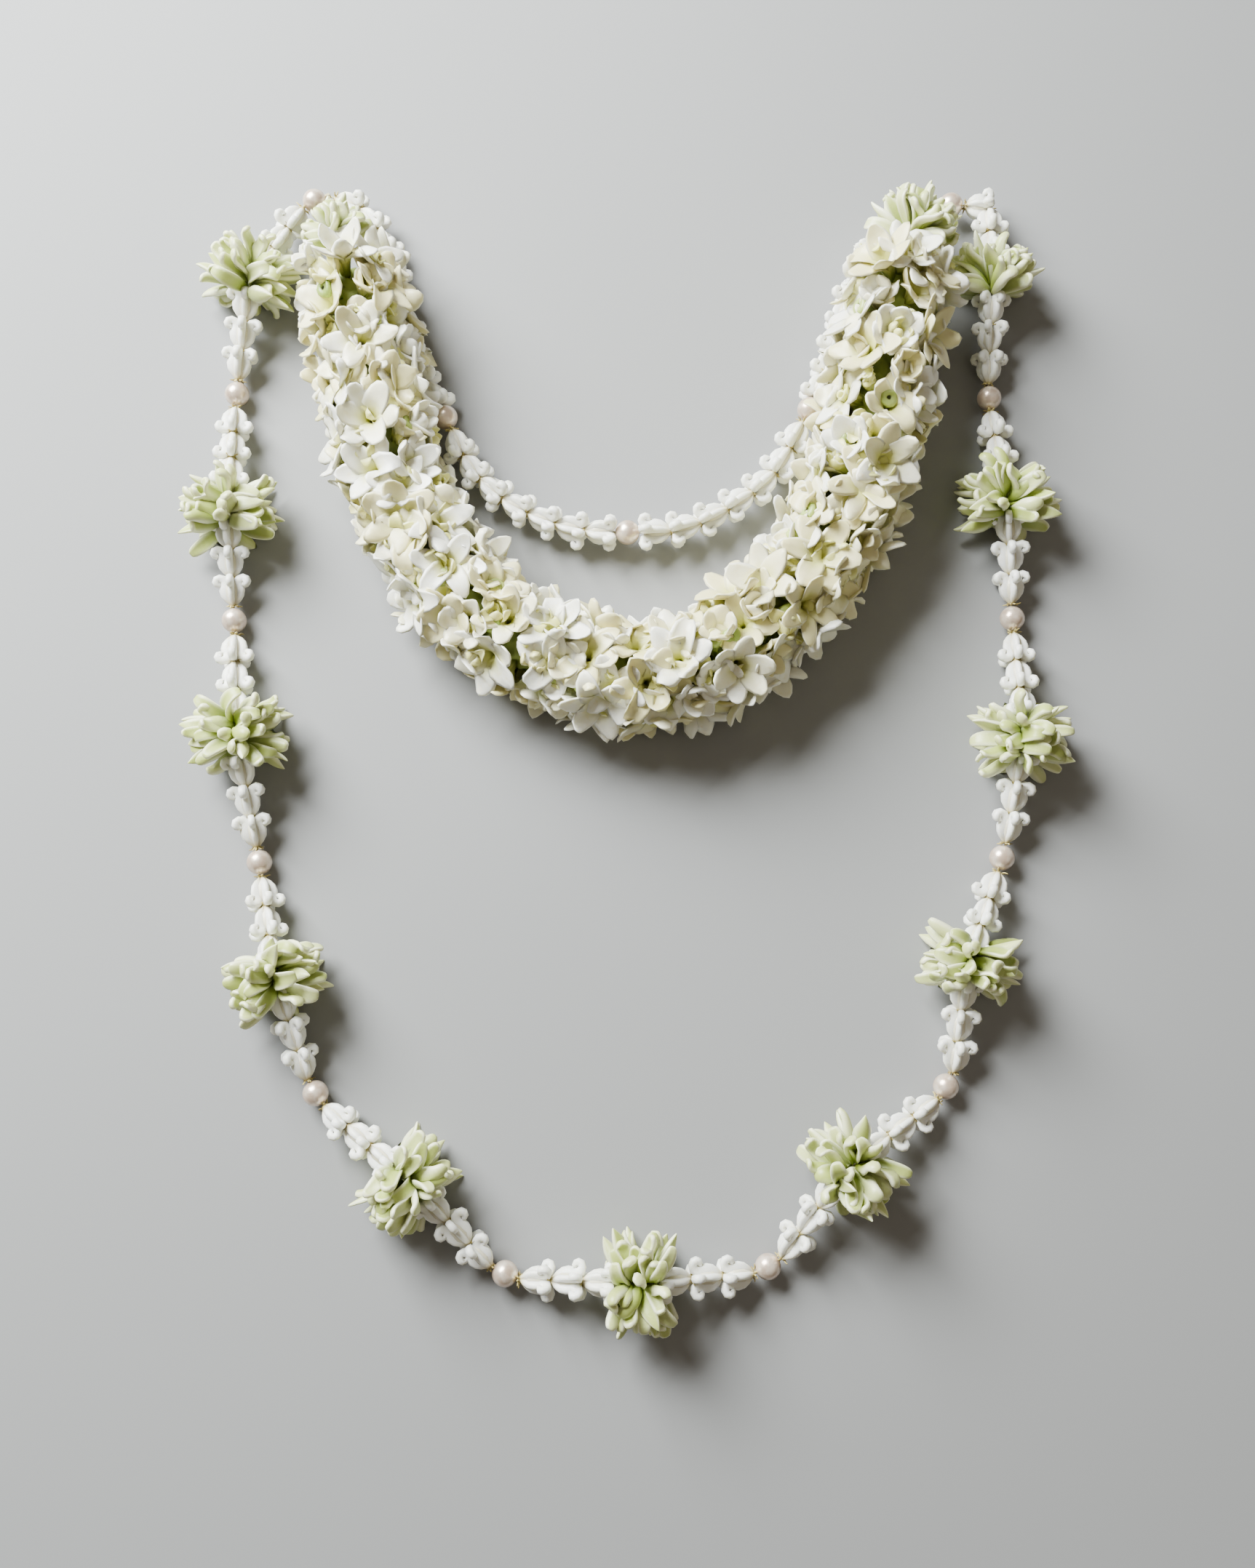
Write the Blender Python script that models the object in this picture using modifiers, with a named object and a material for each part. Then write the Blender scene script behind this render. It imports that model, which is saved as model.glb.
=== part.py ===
"""A flower lei that lies flat on a surface.

Two strands of pearls and crown flowers meet at two junction pearls: a long outer strand that also
carries pompons of petals, and a short inner strand. A thick rope of tuberose florets hangs between
them, tied beside the same two pearls, with a pompon at each of its ends.

Metres, +Z up, +Y towards the wearer's neck. The origin is on the surface, under the middle of the
lei's outline.
"""

import math
import random

import bmesh
import bpy
from mathutils import Vector

GAP = 0.0003
SEED = 5
UP = Vector((0, 0, 1))
FLOOR = (Vector((0, 0, 0)), -UP)
PLANE_ROUNDS = 12

# Pearls, thread and knots
PEARL_RADIUS = 0.0058
PEARL_BORE_RADIUS = 0.001
PEARL_STEPS = 8
PEARL_ARC_STEPS = 4
THREAD_RADIUS = 0.0005
BORE_RADIUS = 0.00115
KNOT_RADIUS = 0.0013
KNOT_SPACE = 0.0055

# Heights of the bead centres above the surface
PEARL_HEIGHT = 0.0066
POMPON_HEIGHT = 0.0155
STRAND_HEIGHT = 0.0097

# One crown flower: five fins round the thread, narrow at the neck and rolled out at the far end
FINS = 5
FLOWER_LENGTH = 0.0139
FLOWER_GAP = 0.0007
FLOWERS_IN_RUN = 3
NECK_RADIUS = 0.0026
BODY_AT = 0.45
BODY_RADIUS = 0.0068
CURL_AT = 0.82
CURL_RADIUS = 0.0096
CURL_VALLEY_RADIUS = 0.0036
STRAND_CLEARANCE = CURL_RADIUS + 0.0005

# Pompons: a small barrel-shaped core, and thick three-sided petals that stand out of it
CORE_RADIUS = 0.005
CORE_SIDES = 6
CORE_REACH = 0.0045
BELLY_RADIUS = 0.0108
BELLY_REACH = 0.0028
PETAL_ROOT_DEPTH = 0.002
PETAL_ROOT_SHARE = 0.3
PETAL_KNEE_RADIUS = 0.0185
PETAL_KNEE_SHARE = 0.55
PETAL_REACH = 0.0248
PETAL_LEAN = 0.0125
PETAL_HALF_WIDTH = 0.0042
PETALS_IN_TIER = (5, 5, 5)
PETAL_TIER_SHIFT = 0.0014

# The two pompons at the rope's ends stand on the inner strand and fan away from the rope
END_POMPON_OFFSET = 0.0058
END_POMPON_FLOOR = (Vector((0, 0, STRAND_HEIGHT + STRAND_CLEARANCE)), -UP)
END_POMPON_LEANS = (0.1, 0.6, 1.1)
END_POMPON_LOWEST = -0.25
END_POMPON_BELLY = 0.0075

# Tuberose rope: a core round the thread, and whorls of open florets
ROPE_CORE_RADIUS = 0.0125
ROPE_CORE_SIDES = 6
ROPE_REACH = 0.025
WHORLS = 20
SEGMENTS = 5
FLORETS_IN_WHORL = 5
TEPALS = 6
FLORET_ROOT = 0.008
FLORET_THROAT = 0.0165
FLORET_NOTCH_RADIUS = 0.0098
FLORET_NOTCH_HEIGHT = 0.0195
FLORET_RADIUS = 0.0158
FLORET_HEIGHT = 0.0215
PRESSED_BELOW = -0.8

# The layout below has its own zero. This is the middle of the lei's outline in it, put over the origin
OUTLINE_MIDDLE = (-0.0036, -0.0011)

# The rope's line, (x, y, height), from its left end to its right end
ROPE_LINE = [
    (-0.137, 0.235, 0.0300), (-0.133, 0.220, 0.0290), (-0.129, 0.202, 0.0280),
    (-0.122, 0.172, 0.0265), (-0.116, 0.142, 0.0245), (-0.107, 0.112, 0.0225),
    (-0.092, 0.082, 0.0215), (-0.069, 0.054, 0.0215), (-0.040, 0.033, 0.0215),
    (0.000, 0.022, 0.0215), (0.027, 0.025, 0.0215), (0.052, 0.039, 0.0215),
    (0.076, 0.062, 0.0215), (0.095, 0.090, 0.0225), (0.109, 0.119, 0.0245),
    (0.117, 0.152, 0.0265), (0.123, 0.186, 0.0285), (0.128, 0.209, 0.0310),
    (0.132, 0.230, 0.0335),
]

# Bead centres of the outer strand, (x, y): a pearl, a pompon, a pearl and so on
OUTER_BEADS = [
    (-0.153, 0.262), (-0.180, 0.219), (-0.188, 0.164), (-0.187, 0.103), (-0.185, 0.052),
    (-0.179, -0.003), (-0.169, -0.062), (-0.158, -0.114), (-0.140, -0.166), (-0.097, -0.203),
    (-0.054, -0.244), (0.006, -0.246), (0.062, -0.241), (0.098, -0.198), (0.143, -0.163),
    (0.153, -0.108), (0.172, -0.060), (0.181, -0.006), (0.181, 0.053), (0.178, 0.108),
    (0.174, 0.162), (0.175, 0.219), (0.158, 0.260),
]
# Where the outer thread turns down, one flower beyond the right junction pearl
RIGHT_CORNER = (0.1765, 0.258)

# The inner strand: its three pearls, and the bends of its four runs, each listed from its top end
INNER_LEFT_PEARL = (-0.087, 0.151)
INNER_MIDDLE_PEARL = (0.000, 0.094)
INNER_RIGHT_PEARL = (0.087, 0.155)
LEFT_UPPER_BENDS = [
    (-0.145, 0.264), (-0.134, 0.260), (-0.125, 0.251), (-0.118, 0.238), (-0.113, 0.222),
    (-0.109, 0.206), (-0.105, 0.190), (-0.100, 0.175), (-0.093, 0.161),
]
LEFT_LOWER_BENDS = [(-0.079, 0.133), (-0.067, 0.117), (-0.050, 0.105), (-0.031, 0.097), (-0.015, 0.094)]
RIGHT_LOWER_BENDS = [(0.080, 0.140), (0.069, 0.122), (0.053, 0.109), (0.035, 0.099), (0.018, 0.094)]
RIGHT_UPPER_BENDS = [
    (0.150, 0.260), (0.139, 0.254), (0.127, 0.243), (0.116, 0.229), (0.108, 0.215),
    (0.103, 0.199), (0.098, 0.182), (0.092, 0.166),
]
UPPER_FLOWERS = 9
LOWER_FLOWERS = 7


class Line:
    """A smooth line through points set by hand, read by the distance along it."""

    def __init__(self, points, samples=8):
        knots = [Vector(point) for point in points]
        ends = [2 * knots[0] - knots[1], *knots, 2 * knots[-1] - knots[-2]]
        self.points = [knots[0]]
        for before, start, end, after in zip(ends, ends[1:], ends[2:], ends[3:]):
            for step in range(1, samples + 1):
                self.points.append(self.blend(before, start, end, after, step / samples))
        self.marks = [0.0]
        for start, end in zip(self.points, self.points[1:]):
            self.marks.append(self.marks[-1] + (end - start).length)
        self.length = self.marks[-1]

    @staticmethod
    def blend(before, start, end, after, t):
        """A Catmull-Rom span from start to end."""
        cubic = 3 * start - before - 3 * end + after
        square = 2 * before - 5 * start + 4 * end - after
        return start + 0.5 * t * ((end - before) + t * (square + t * cubic))

    def at(self, distance):
        """The point at a distance along the line, straight on past either end."""
        last = len(self.marks) - 2
        index = 0
        while index < last and self.marks[index + 1] < distance:
            index += 1
        share = (distance - self.marks[index]) / (self.marks[index + 1] - self.marks[index])
        return self.points[index].lerp(self.points[index + 1], share)

    def direction(self, distance):
        """The unit tangent, taken over two millimetres."""
        return (self.at(distance + 0.001) - self.at(distance - 0.001)).normalized()

    def frame(self, distance):
        """The point, the unit tangent, and the unit side and up that are square to it."""
        tangent = self.direction(distance)
        side = tangent.cross(UP).normalized()
        return self.at(distance), tangent, side, side.cross(tangent)


class Bead:
    """A drilled piece on the thread: its centre, its axis, and where the thread goes in and out."""

    def __init__(self, centre, before, after, reach_in=PEARL_RADIUS, reach_out=PEARL_RADIUS):
        self.centre = centre
        self.axis = ((centre - before).normalized() + (after - centre).normalized()).normalized()
        self.reach_in = reach_in
        self.reach_out = reach_out
        self.entry = centre - self.axis * (reach_in + GAP)
        self.exit = centre + self.axis * (reach_out + GAP)


class Run:
    """A run of crown flowers: its legs, as (line, start, end, flowers), and the thread's points."""

    def __init__(self, name, legs, thread):
        self.name = name
        self.legs = legs
        self.thread = thread


# Making objects

def clear_scene():
    for item in list(bpy.data.objects):
        bpy.data.objects.remove(item, do_unlink=True)


def collection(name):
    made = bpy.data.collections.new(name)
    bpy.context.scene.collection.children.link(made)
    return made


def material(name, colour, roughness, metallic=0.0):
    made = bpy.data.materials.new(name)
    made.use_nodes = True
    shader = made.node_tree.nodes["Principled BSDF"]
    shader.inputs["Base Color"].default_value = (*colour, 1.0)
    shader.inputs["Roughness"].default_value = roughness
    shader.inputs["Metallic"].default_value = metallic
    return made


def add_object(name, mesh, group, location=(0, 0, 0)):
    """Link an object whose mesh is in its own coordinates."""
    made = bpy.data.objects.new(name, mesh)
    made.location = location
    group.objects.link(made)
    return made


def finish(item, surface):
    """Give the whole item one material."""
    item.data.materials.clear()
    item.data.materials.append(surface)


def mesh_from(name, corners, faces, origin):
    """A closed mesh from corners in the lei's frame, stored relative to the origin given."""
    shape = bmesh.new()
    points = [shape.verts.new(corner - origin) for corner in corners]
    for face in faces:
        shape.faces.new([points[index] for index in face])
    bmesh.ops.recalc_face_normals(shape, faces=shape.faces)
    made = bpy.data.meshes.new(name)
    shape.to_mesh(made)
    shape.free()
    return made


def evaluated_mesh(item):
    graph = bpy.context.evaluated_depsgraph_get()
    return bpy.data.meshes.new_from_object(item.evaluated_get(graph))


def keep_largest_body(mesh):
    """Drop loose scraps, and fill hollows that the joining has sealed."""
    shape = bmesh.new()
    shape.from_mesh(mesh)
    bodies = []
    left = set(shape.verts)
    while left:
        body = set()
        edge = {left.pop()}
        while edge:
            body |= edge
            edge = {link.other_vert(vert) for vert in edge for link in vert.link_edges} - body
        left -= body
        bodies.append(body)
    bodies.sort(key=len)
    loose = [vert for body in bodies[:-1] for vert in body]
    bmesh.ops.delete(shape, geom=loose, context="VERTS")
    shape.to_mesh(mesh)
    shape.free()


def fuse(item, pieces):
    """Join the pieces to the item as one body with one Boolean, and remove the pieces."""
    joined = item.modifiers.new("joined", "BOOLEAN")
    joined.operation = "UNION"
    joined.operand_type = "COLLECTION"
    joined.collection = pieces
    joined.solver = "MANIFOLD"
    whole = evaluated_mesh(item)
    item.modifiers.remove(joined)
    item.data = whole
    keep_largest_body(whole)
    for piece in list(pieces.objects):
        bpy.data.objects.remove(piece, do_unlink=True)
    bpy.data.collections.remove(pieces)


def tube_mesh(name, points, radius, sides, origin, facing=None):
    """A tube of flat sides through the points, as wide at its bends as between them, with flat ends.

    The ends are square to the two directions in facing, or else to the first and last spans.
    """
    spans = [(end - start).normalized() for start, end in zip(points, points[1:])]
    first, last = facing or (spans[0], spans[-1])
    tangents = [first, *[(before + after).normalized() for before, after in zip(spans, spans[1:])], last]
    corners = []
    faces = []
    for point, tangent, span in zip(points, tangents, [*spans, spans[-1]]):
        side = tangent.cross(UP).normalized()
        up = side.cross(tangent)
        reach = radius / tangent.dot(span)
        for step in range(sides):
            angle = math.tau * step / sides
            corners.append(point + reach * (math.cos(angle) * up + math.sin(angle) * side))
    for ring in range(len(points) - 1):
        for step in range(sides):
            here = ring * sides + step
            beside = ring * sides + (step + 1) % sides
            faces.append((here, beside, beside + sides, here + sides))
    faces.append(tuple(range(sides)))
    faces.append(tuple(range(len(corners) - sides, len(corners))))
    return mesh_from(name, corners, faces, origin)


def add_cutter(name, points):
    """The space that the thread needs along the points given."""
    cutter = add_object(name, tube_mesh(name, points, BORE_RADIUS, 4, points[0]), cutters, points[0])
    cutter.hide_render = True
    cutter.display_type = "WIRE"
    return cutter


def drill(item, cutter):
    bore = item.modifiers.new("bore", "BOOLEAN")
    bore.operation = "DIFFERENCE"
    bore.object = cutter


def turn_profile(item, steps):
    """Turn the item's profile round its own Z axis into a closed body."""
    turned = item.modifiers.new("turned", "SCREW")
    turned.steps = steps
    turned.render_steps = steps
    turned.use_merge_vertices = True
    turned.merge_threshold = 0.00001
    return turned


def keep_inside(corner, planes):
    """Move a corner back to each plane, a point and an outward normal, that it lies beyond."""
    for _ in range(PLANE_ROUNDS):
        for point, normal in planes:
            beyond = (corner - point).dot(normal)
            if beyond > 0:
                corner = corner - normal * beyond
    return corner


def parting_plane(own, other, share=0.5):
    """The plane that something round its own centre keeps behind, next to something else."""
    away = other - own
    return own + away * share - away.normalized() * GAP, away.normalized()


# Layout of the strands

def above(place, height):
    """A point above a place of the layout."""
    return Vector((place[0] - OUTLINE_MIDDLE[0], place[1] - OUTLINE_MIDDLE[1], height))


def on_strand(place):
    """A point where the inner strand's thread lies."""
    return above(place, STRAND_HEIGHT)


def core_reach(distance, flowers=FLOWERS_IN_RUN, start=PEARL_RADIUS + GAP + FLOWER_GAP):
    """How far a pompon's core reaches along the thread, once whole flowers have filled the rest."""
    return max(CORE_REACH, distance - start - flowers * FLOWER_LENGTH - FLOWER_GAP - GAP)


def outer_beads():
    """The beads of the outer strand, from the left junction pearl to the right one."""
    last = len(OUTER_BEADS) - 1
    centres = [above(place, POMPON_HEIGHT if index % 2 else PEARL_HEIGHT)
               for index, place in enumerate(OUTER_BEADS)]
    centres[0].z = STRAND_HEIGHT
    centres[last].z = STRAND_HEIGHT
    stops = [on_strand(LEFT_UPPER_BENDS[0]), *centres[:last], on_strand(RIGHT_CORNER), centres[last],
             on_strand(RIGHT_UPPER_BENDS[0])]
    beads = []
    for index, centre in enumerate(centres):
        place = index + 1 if index < last else last + 2
        before, after = stops[place - 1], stops[place + 1]
        if index % 2 == 0:
            beads.append(Bead(centre, before, after))
            continue
        reach_in = core_reach((centre - before).length)
        reach_out = core_reach((after - centre).length)
        if index == last - 1:
            reach_out = core_reach((after - centre).length, FLOWERS_IN_RUN - 1, 0)
        beads.append(Bead(centre, before, after, reach_in, reach_out))
    return beads


def inner_beads():
    """The left, middle and right pearls of the inner strand."""
    return [
        Bead(on_strand(INNER_LEFT_PEARL), on_strand(LEFT_UPPER_BENDS[-1]), on_strand(LEFT_LOWER_BENDS[0])),
        Bead(on_strand(INNER_MIDDLE_PEARL), on_strand(LEFT_LOWER_BENDS[-1]),
             on_strand(RIGHT_LOWER_BENDS[-1])),
        Bead(on_strand(INNER_RIGHT_PEARL), on_strand(RIGHT_LOWER_BENDS[0]),
             on_strand(RIGHT_UPPER_BENDS[-1])),
    ]


def outer_runs(beads):
    """Three flowers from each pearl to each pompon beside it, with their necks at the pearl."""
    runs = []
    for before, pompon, after in zip(beads[::2], beads[1::2], beads[2::2]):
        for pearl_port, pompon_port in ((before.exit, pompon.entry), (after.entry, pompon.exit)):
            line = Line([pearl_port, pompon_port])
            legs = [(line, FLOWER_GAP, line.length - FLOWER_GAP, FLOWERS_IN_RUN)]
            runs.append(Run(f"flowers_outer_{len(runs) + 1:02d}", legs, [pearl_port, pompon_port]))
    pearl_port, pompon_port = runs[-1].thread
    corner = on_strand(RIGHT_CORNER)
    across, down = Line([pearl_port, corner]), Line([corner, pompon_port])
    overlap = NECK_RADIUS / 2
    runs[-1].thread = [pearl_port, corner, pompon_port]
    runs[-1].legs = [(across, FLOWER_GAP, across.length + overlap, 1),
                     (down, -overlap, down.length - FLOWER_GAP, FLOWERS_IN_RUN - 1)]
    return runs


def inner_run(name, top_port, bends, bottom_port, lead, flowers):
    """Flowers along one bent line, with their necks towards its top end."""
    line = Line([top_port, *[on_strand(bend) for bend in bends], bottom_port])
    end = line.length - FLOWER_GAP
    joints = [line.at(lead + (end - lead) * step / flowers) for step in range(flowers + 1)]
    return Run(f"flowers_inner_{name}", [(line, lead, end, flowers)], [top_port, *joints, bottom_port])


# Pearls

def add_pearl(name, bead):
    """A sphere with a bore, turned round its drilled axis."""
    start = math.asin(PEARL_BORE_RADIUS / PEARL_RADIUS)
    profile = []
    for step in range(PEARL_ARC_STEPS + 1):
        angle = start + (math.pi - 2 * start) * step / PEARL_ARC_STEPS
        profile.append((PEARL_RADIUS * math.sin(angle), 0, PEARL_RADIUS * math.cos(angle)))
    mesh = bpy.data.meshes.new(name)
    mesh.from_pydata(profile, [(index, (index + 1) % len(profile)) for index in range(len(profile))], [])
    pearl = add_object(name, mesh, lei, bead.centre)
    pearl.rotation_mode = "QUATERNION"
    pearl.rotation_quaternion = bead.axis.to_track_quat("Z", "Y")
    turn_profile(pearl, PEARL_STEPS).use_smooth_shade = True
    finish(pearl, pearl_finish)


# Crown flowers

def star_ring(line, distance, ridge, valley, turn):
    """A ring round the line: five corners, or ten that rise to a ridge and fall to a valley."""
    centre, _, side, up = line.frame(distance)
    count = FINS * (2 if valley else 1)
    ring = []
    for index in range(count):
        radius = valley if valley and index % 2 else ridge
        angle = turn + math.tau * index / count
        corner = centre + radius * (math.cos(angle) * up + math.sin(angle) * side)
        ring.append(keep_inside(corner, [FLOOR]))
    return ring


def skin(rings):
    """Corners and faces over rings of five or ten corners, with flat ends."""
    corners = [corner for ring in rings for corner in ring]
    starts = [sum(len(ring) for ring in rings[:index]) for index in range(len(rings))]
    faces = []
    for near, far, a, b in zip(rings, rings[1:], starts, starts[1:]):
        if len(near) == len(far):
            for k in range(len(near)):
                beside = (k + 1) % len(near)
                faces.append((a + k, a + beside, b + beside, b + k))
            continue
        few, many = (a, b) if len(near) < len(far) else (b, a)
        for k in range(FINS):
            beside = (k + 1) % FINS
            ridge, valley, next_ridge = many + 2 * k, many + 2 * k + 1, many + 2 * beside
            faces.append((few + k, ridge, valley))
            faces.append((few + k, valley, few + beside))
            faces.append((few + beside, valley, next_ridge))
    faces.append(tuple(range(len(rings[0]))))
    faces.append(tuple(range(len(corners) - len(rings[-1]), len(corners))))
    return corners, faces


def flowers_mesh(name, leg, turn, origin):
    """Flowers pushed into each other along a leg, with their necks towards its start."""
    line, start, end, count = leg
    pitch = (end - start) / count
    rings = []
    for index in range(count):
        base = start + index * pitch
        rings.append(star_ring(line, base, NECK_RADIUS, None, turn))
        rings.append(star_ring(line, base + BODY_AT * pitch, BODY_RADIUS, None, turn))
        rings.append(star_ring(line, base + CURL_AT * pitch, CURL_RADIUS, CURL_VALLEY_RADIUS, turn))
    rings.append(star_ring(line, end, NECK_RADIUS, None, turn))
    corners, faces = skin(rings)
    return mesh_from(name, corners, faces, origin)


def add_flowers(run):
    """A run of flowers, its legs joined where it has two, and bored for the thread."""
    turn = chance.choice((0.0, 0.0, math.pi / FINS)) + chance.uniform(-0.12, 0.12)
    origin = run.thread[0]
    flowers = add_object(run.name, flowers_mesh(run.name, run.legs[0], turn, origin), lei, origin)
    if len(run.legs) > 1:
        others = collection(run.name + "_rest")
        for leg in run.legs[1:]:
            add_object(run.name + "_rest", flowers_mesh(run.name, leg, turn, origin), others, origin)
        fuse(flowers, others)
    finish(flowers, flower_finish)
    drill(flowers, add_cutter(run.name + "_bore", run.thread))


# Pompons

def add_core(name, bead, belly):
    """A drilled barrel of flat sides, turned round the thread."""
    profile = [(BORE_RADIUS, 0, bead.reach_out), (CORE_RADIUS, 0, bead.reach_out),
               (belly, 0, BELLY_REACH), (belly, 0, -BELLY_REACH),
               (CORE_RADIUS, 0, -bead.reach_in), (BORE_RADIUS, 0, -bead.reach_in)]
    mesh = bpy.data.meshes.new(name)
    mesh.from_pydata(profile, [(index, (index + 1) % len(profile)) for index in range(len(profile))], [])
    core = add_object(name, mesh, lei, bead.centre)
    turned = turn_profile(core, CORE_SIDES)
    core.data = evaluated_mesh(core)
    core.modifiers.remove(turned)
    core.data.transform(bead.axis.to_track_quat("Z", "Y").to_matrix().to_4x4())
    return core


def add_petal(group, bead, out, root_radius, shift, lean, reach, planes):
    """One three-sided petal: a root inside the core, a broad knee, and a tip that leans."""
    root = bead.centre + root_radius * out + shift * bead.axis
    knee = bead.centre + PETAL_KNEE_RADIUS * out + (shift + PETAL_KNEE_SHARE * lean) * bead.axis
    tip = bead.centre + reach * out + lean * bead.axis
    across = bead.axis.cross(out)
    face = across.cross(tip - root).normalized()
    spin = chance.uniform(0, math.pi)
    ways = [math.cos(spin + turn) * across + math.sin(spin + turn) * face
            for turn in (0, math.tau / 3, -math.tau / 3)]
    corners = [root + PETAL_ROOT_SHARE * PETAL_HALF_WIDTH * way for way in ways]
    corners += [knee + PETAL_HALF_WIDTH * way for way in ways]
    corners = [keep_inside(corner, planes) for corner in [*corners, tip]]
    faces = [(0, 1, 2)]
    for side in range(3):
        beside = (side + 1) % 3
        faces += [(side, beside, 3 + side), (beside, 3 + beside, 3 + side), (3 + side, 3 + beside, 6)]
    add_object("petal", mesh_from("petal", corners, faces, bead.centre), group, bead.centre)


def add_pompon(name, bead, planes, leans=(-1, 0, 1), lowest=-1.0, belly=BELLY_RADIUS):
    """A head of petals in three tiers, joined to its core."""
    core = add_core(name, bead, belly)
    petals = collection(name + "_petals")
    side = bead.axis.cross(UP).normalized()
    up = side.cross(bead.axis)
    for tier, (count, way) in enumerate(zip(PETALS_IN_TIER, leans)):
        start = chance.uniform(0, 0.3) + tier * math.pi / count
        for index in range(count):
            angle = start + math.tau * (index + chance.uniform(-0.12, 0.12)) / count
            out = math.cos(angle) * up + math.sin(angle) * side
            lean = way * PETAL_LEAN + chance.uniform(-0.003, 0.003)
            reach = PETAL_REACH * (chance.uniform(0.96, 1.06) - 0.1 * abs(way))
            if out.z > lowest:
                shift = (tier - 1) * PETAL_TIER_SHIFT
                add_petal(petals, bead, out, belly - PETAL_ROOT_DEPTH, shift, lean, reach, planes)
    fuse(core, petals)
    finish(core, pompon_finish)


# Tuberose rope

def strand_planes(centre, reach):
    """Planes that keep what grows from the centre clear of the flowers on the strands near it."""
    planes = []
    for point in strand_points:
        away = point - centre
        if away.length < reach + STRAND_CLEARANCE:
            planes.append((point - away.normalized() * STRAND_CLEARANCE, away.normalized()))
    return planes


def add_floret(group, centre, out, along, planes):
    """One open floret: a funnel from the core to a star of six tepals."""
    across = out.cross(along)
    spin = chance.uniform(0, math.tau)
    radius = FLORET_RADIUS * chance.uniform(0.95, 1.06)
    throat = FLORET_HEIGHT + 0.002 if out.z < PRESSED_BELOW else FLORET_THROAT
    corners = [centre + FLORET_ROOT * out, centre + throat * out]
    for tepal in range(TEPALS):
        middle = spin + math.tau * tepal / TEPALS
        height = FLORET_HEIGHT + chance.uniform(-0.0015, 0.002)
        rim = [(middle, radius, height),
               (middle + math.pi / TEPALS, FLORET_NOTCH_RADIUS, FLORET_NOTCH_HEIGHT)]
        for angle, spread, lift in rim:
            outward = math.cos(angle) * along + math.sin(angle) * across
            corners.append(centre + lift * out + spread * outward)
    corners = [keep_inside(corner, planes) for corner in corners]
    faces = []
    for step in range(2 * TEPALS):
        here, beside = 2 + step, 2 + (step + 1) % (2 * TEPALS)
        faces.append((1, here, beside))
        faces.append((0, beside, here))
    add_object("floret", mesh_from("floret", corners, faces, centre), group, centre)


def add_rope_segment(name, line, first, last, bore, planes):
    """A stretch of the rope, from one whorl to another, with ends that face the next stretch."""
    pitch = line.length / WHORLS
    start = first * pitch + (GAP / 2 if first else 0)
    end = last * pitch - (GAP / 2 if last < WHORLS else 0)
    steps = last - first
    points = [line.at(start + (end - start) * step / steps) for step in range(steps + 1)]
    origin = points[0]
    facing = line.direction(start), line.direction(end)
    core = tube_mesh(name, points, ROPE_CORE_RADIUS, ROPE_CORE_SIDES, origin, facing)
    rope = add_object(name, core, lei, origin)
    ends = [(points[0], -facing[0]), (points[-1], facing[1])]
    florets = collection(name + "_florets")
    for whorl in range(first, last):
        centre, tangent, side, up = line.frame((whorl + 0.5) * pitch)
        near = strand_planes(centre, FLORET_HEIGHT + FLORET_RADIUS)
        for index in range(FLORETS_IN_WHORL):
            angle = math.tau * (index + 0.5 * (whorl % 2) + chance.uniform(-0.06, 0.06)) / FLORETS_IN_WHORL
            out = math.cos(angle) * up + math.sin(angle) * side
            along = (tangent + chance.uniform(-0.15, 0.15) * out).normalized()
            out = (out - out.dot(along) * along).normalized()
            add_floret(florets, centre, out, along, [*near, *planes, *ends, FLOOR])
    fuse(rope, florets)
    finish(rope, tuberose_finish)
    drill(rope, bore)


# Thread

def thread_mesh(name, points, cyclic):
    """A thread through the points, as a mesh with welded caps."""
    curve = bpy.data.curves.new(name, "CURVE")
    curve.dimensions = "3D"
    curve.bevel_depth = THREAD_RADIUS
    curve.bevel_resolution = 0
    curve.use_fill_caps = True
    spline = curve.splines.new("POLY")
    spline.points.add(len(points) - 1)
    for place, point in zip(spline.points, points):
        place.co = (*point, 1)
    spline.use_cyclic_u = cyclic
    guide = add_object(name, curve, lei)
    mesh = evaluated_mesh(guide)
    bpy.data.objects.remove(guide, do_unlink=True)
    shape = bmesh.new()
    shape.from_mesh(mesh)
    bmesh.ops.remove_doubles(shape, verts=shape.verts, dist=0.00001)
    bmesh.ops.recalc_face_normals(shape, faces=shape.faces)
    shape.to_mesh(mesh)
    shape.free()
    return mesh


def add_thread(loop, crossing):
    """The closed thread of the two strands, with the rope's thread knotted to it at both ends."""
    thread = add_object("thread", thread_mesh("thread_loop", loop, True), lei)
    others = collection("thread_rest")
    add_object("rope_thread", thread_mesh("rope_thread", crossing, False), others)
    for place in (crossing[0], crossing[-1]):
        shape = bmesh.new()
        bmesh.ops.create_icosphere(shape, subdivisions=1, radius=KNOT_RADIUS)
        mesh = bpy.data.meshes.new("knot")
        shape.to_mesh(mesh)
        shape.free()
        add_object("knot", mesh, others, place)
    fuse(thread, others)
    finish(thread, thread_finish)


clear_scene()
chance = random.Random(SEED)
lei = collection("lei")
cutters = collection("cutters")
pearl_finish = material("pearl", (0.90, 0.84, 0.78), 0.22)
flower_finish = material("crown_flower", (0.88, 0.87, 0.81), 0.5)
pompon_finish = material("pompon_petal", (0.74, 0.79, 0.55), 0.5)
tuberose_finish = material("tuberose_petal", (0.90, 0.89, 0.80), 0.5)
thread_finish = material("thread", (0.60, 0.55, 0.32), 0.8)

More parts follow.
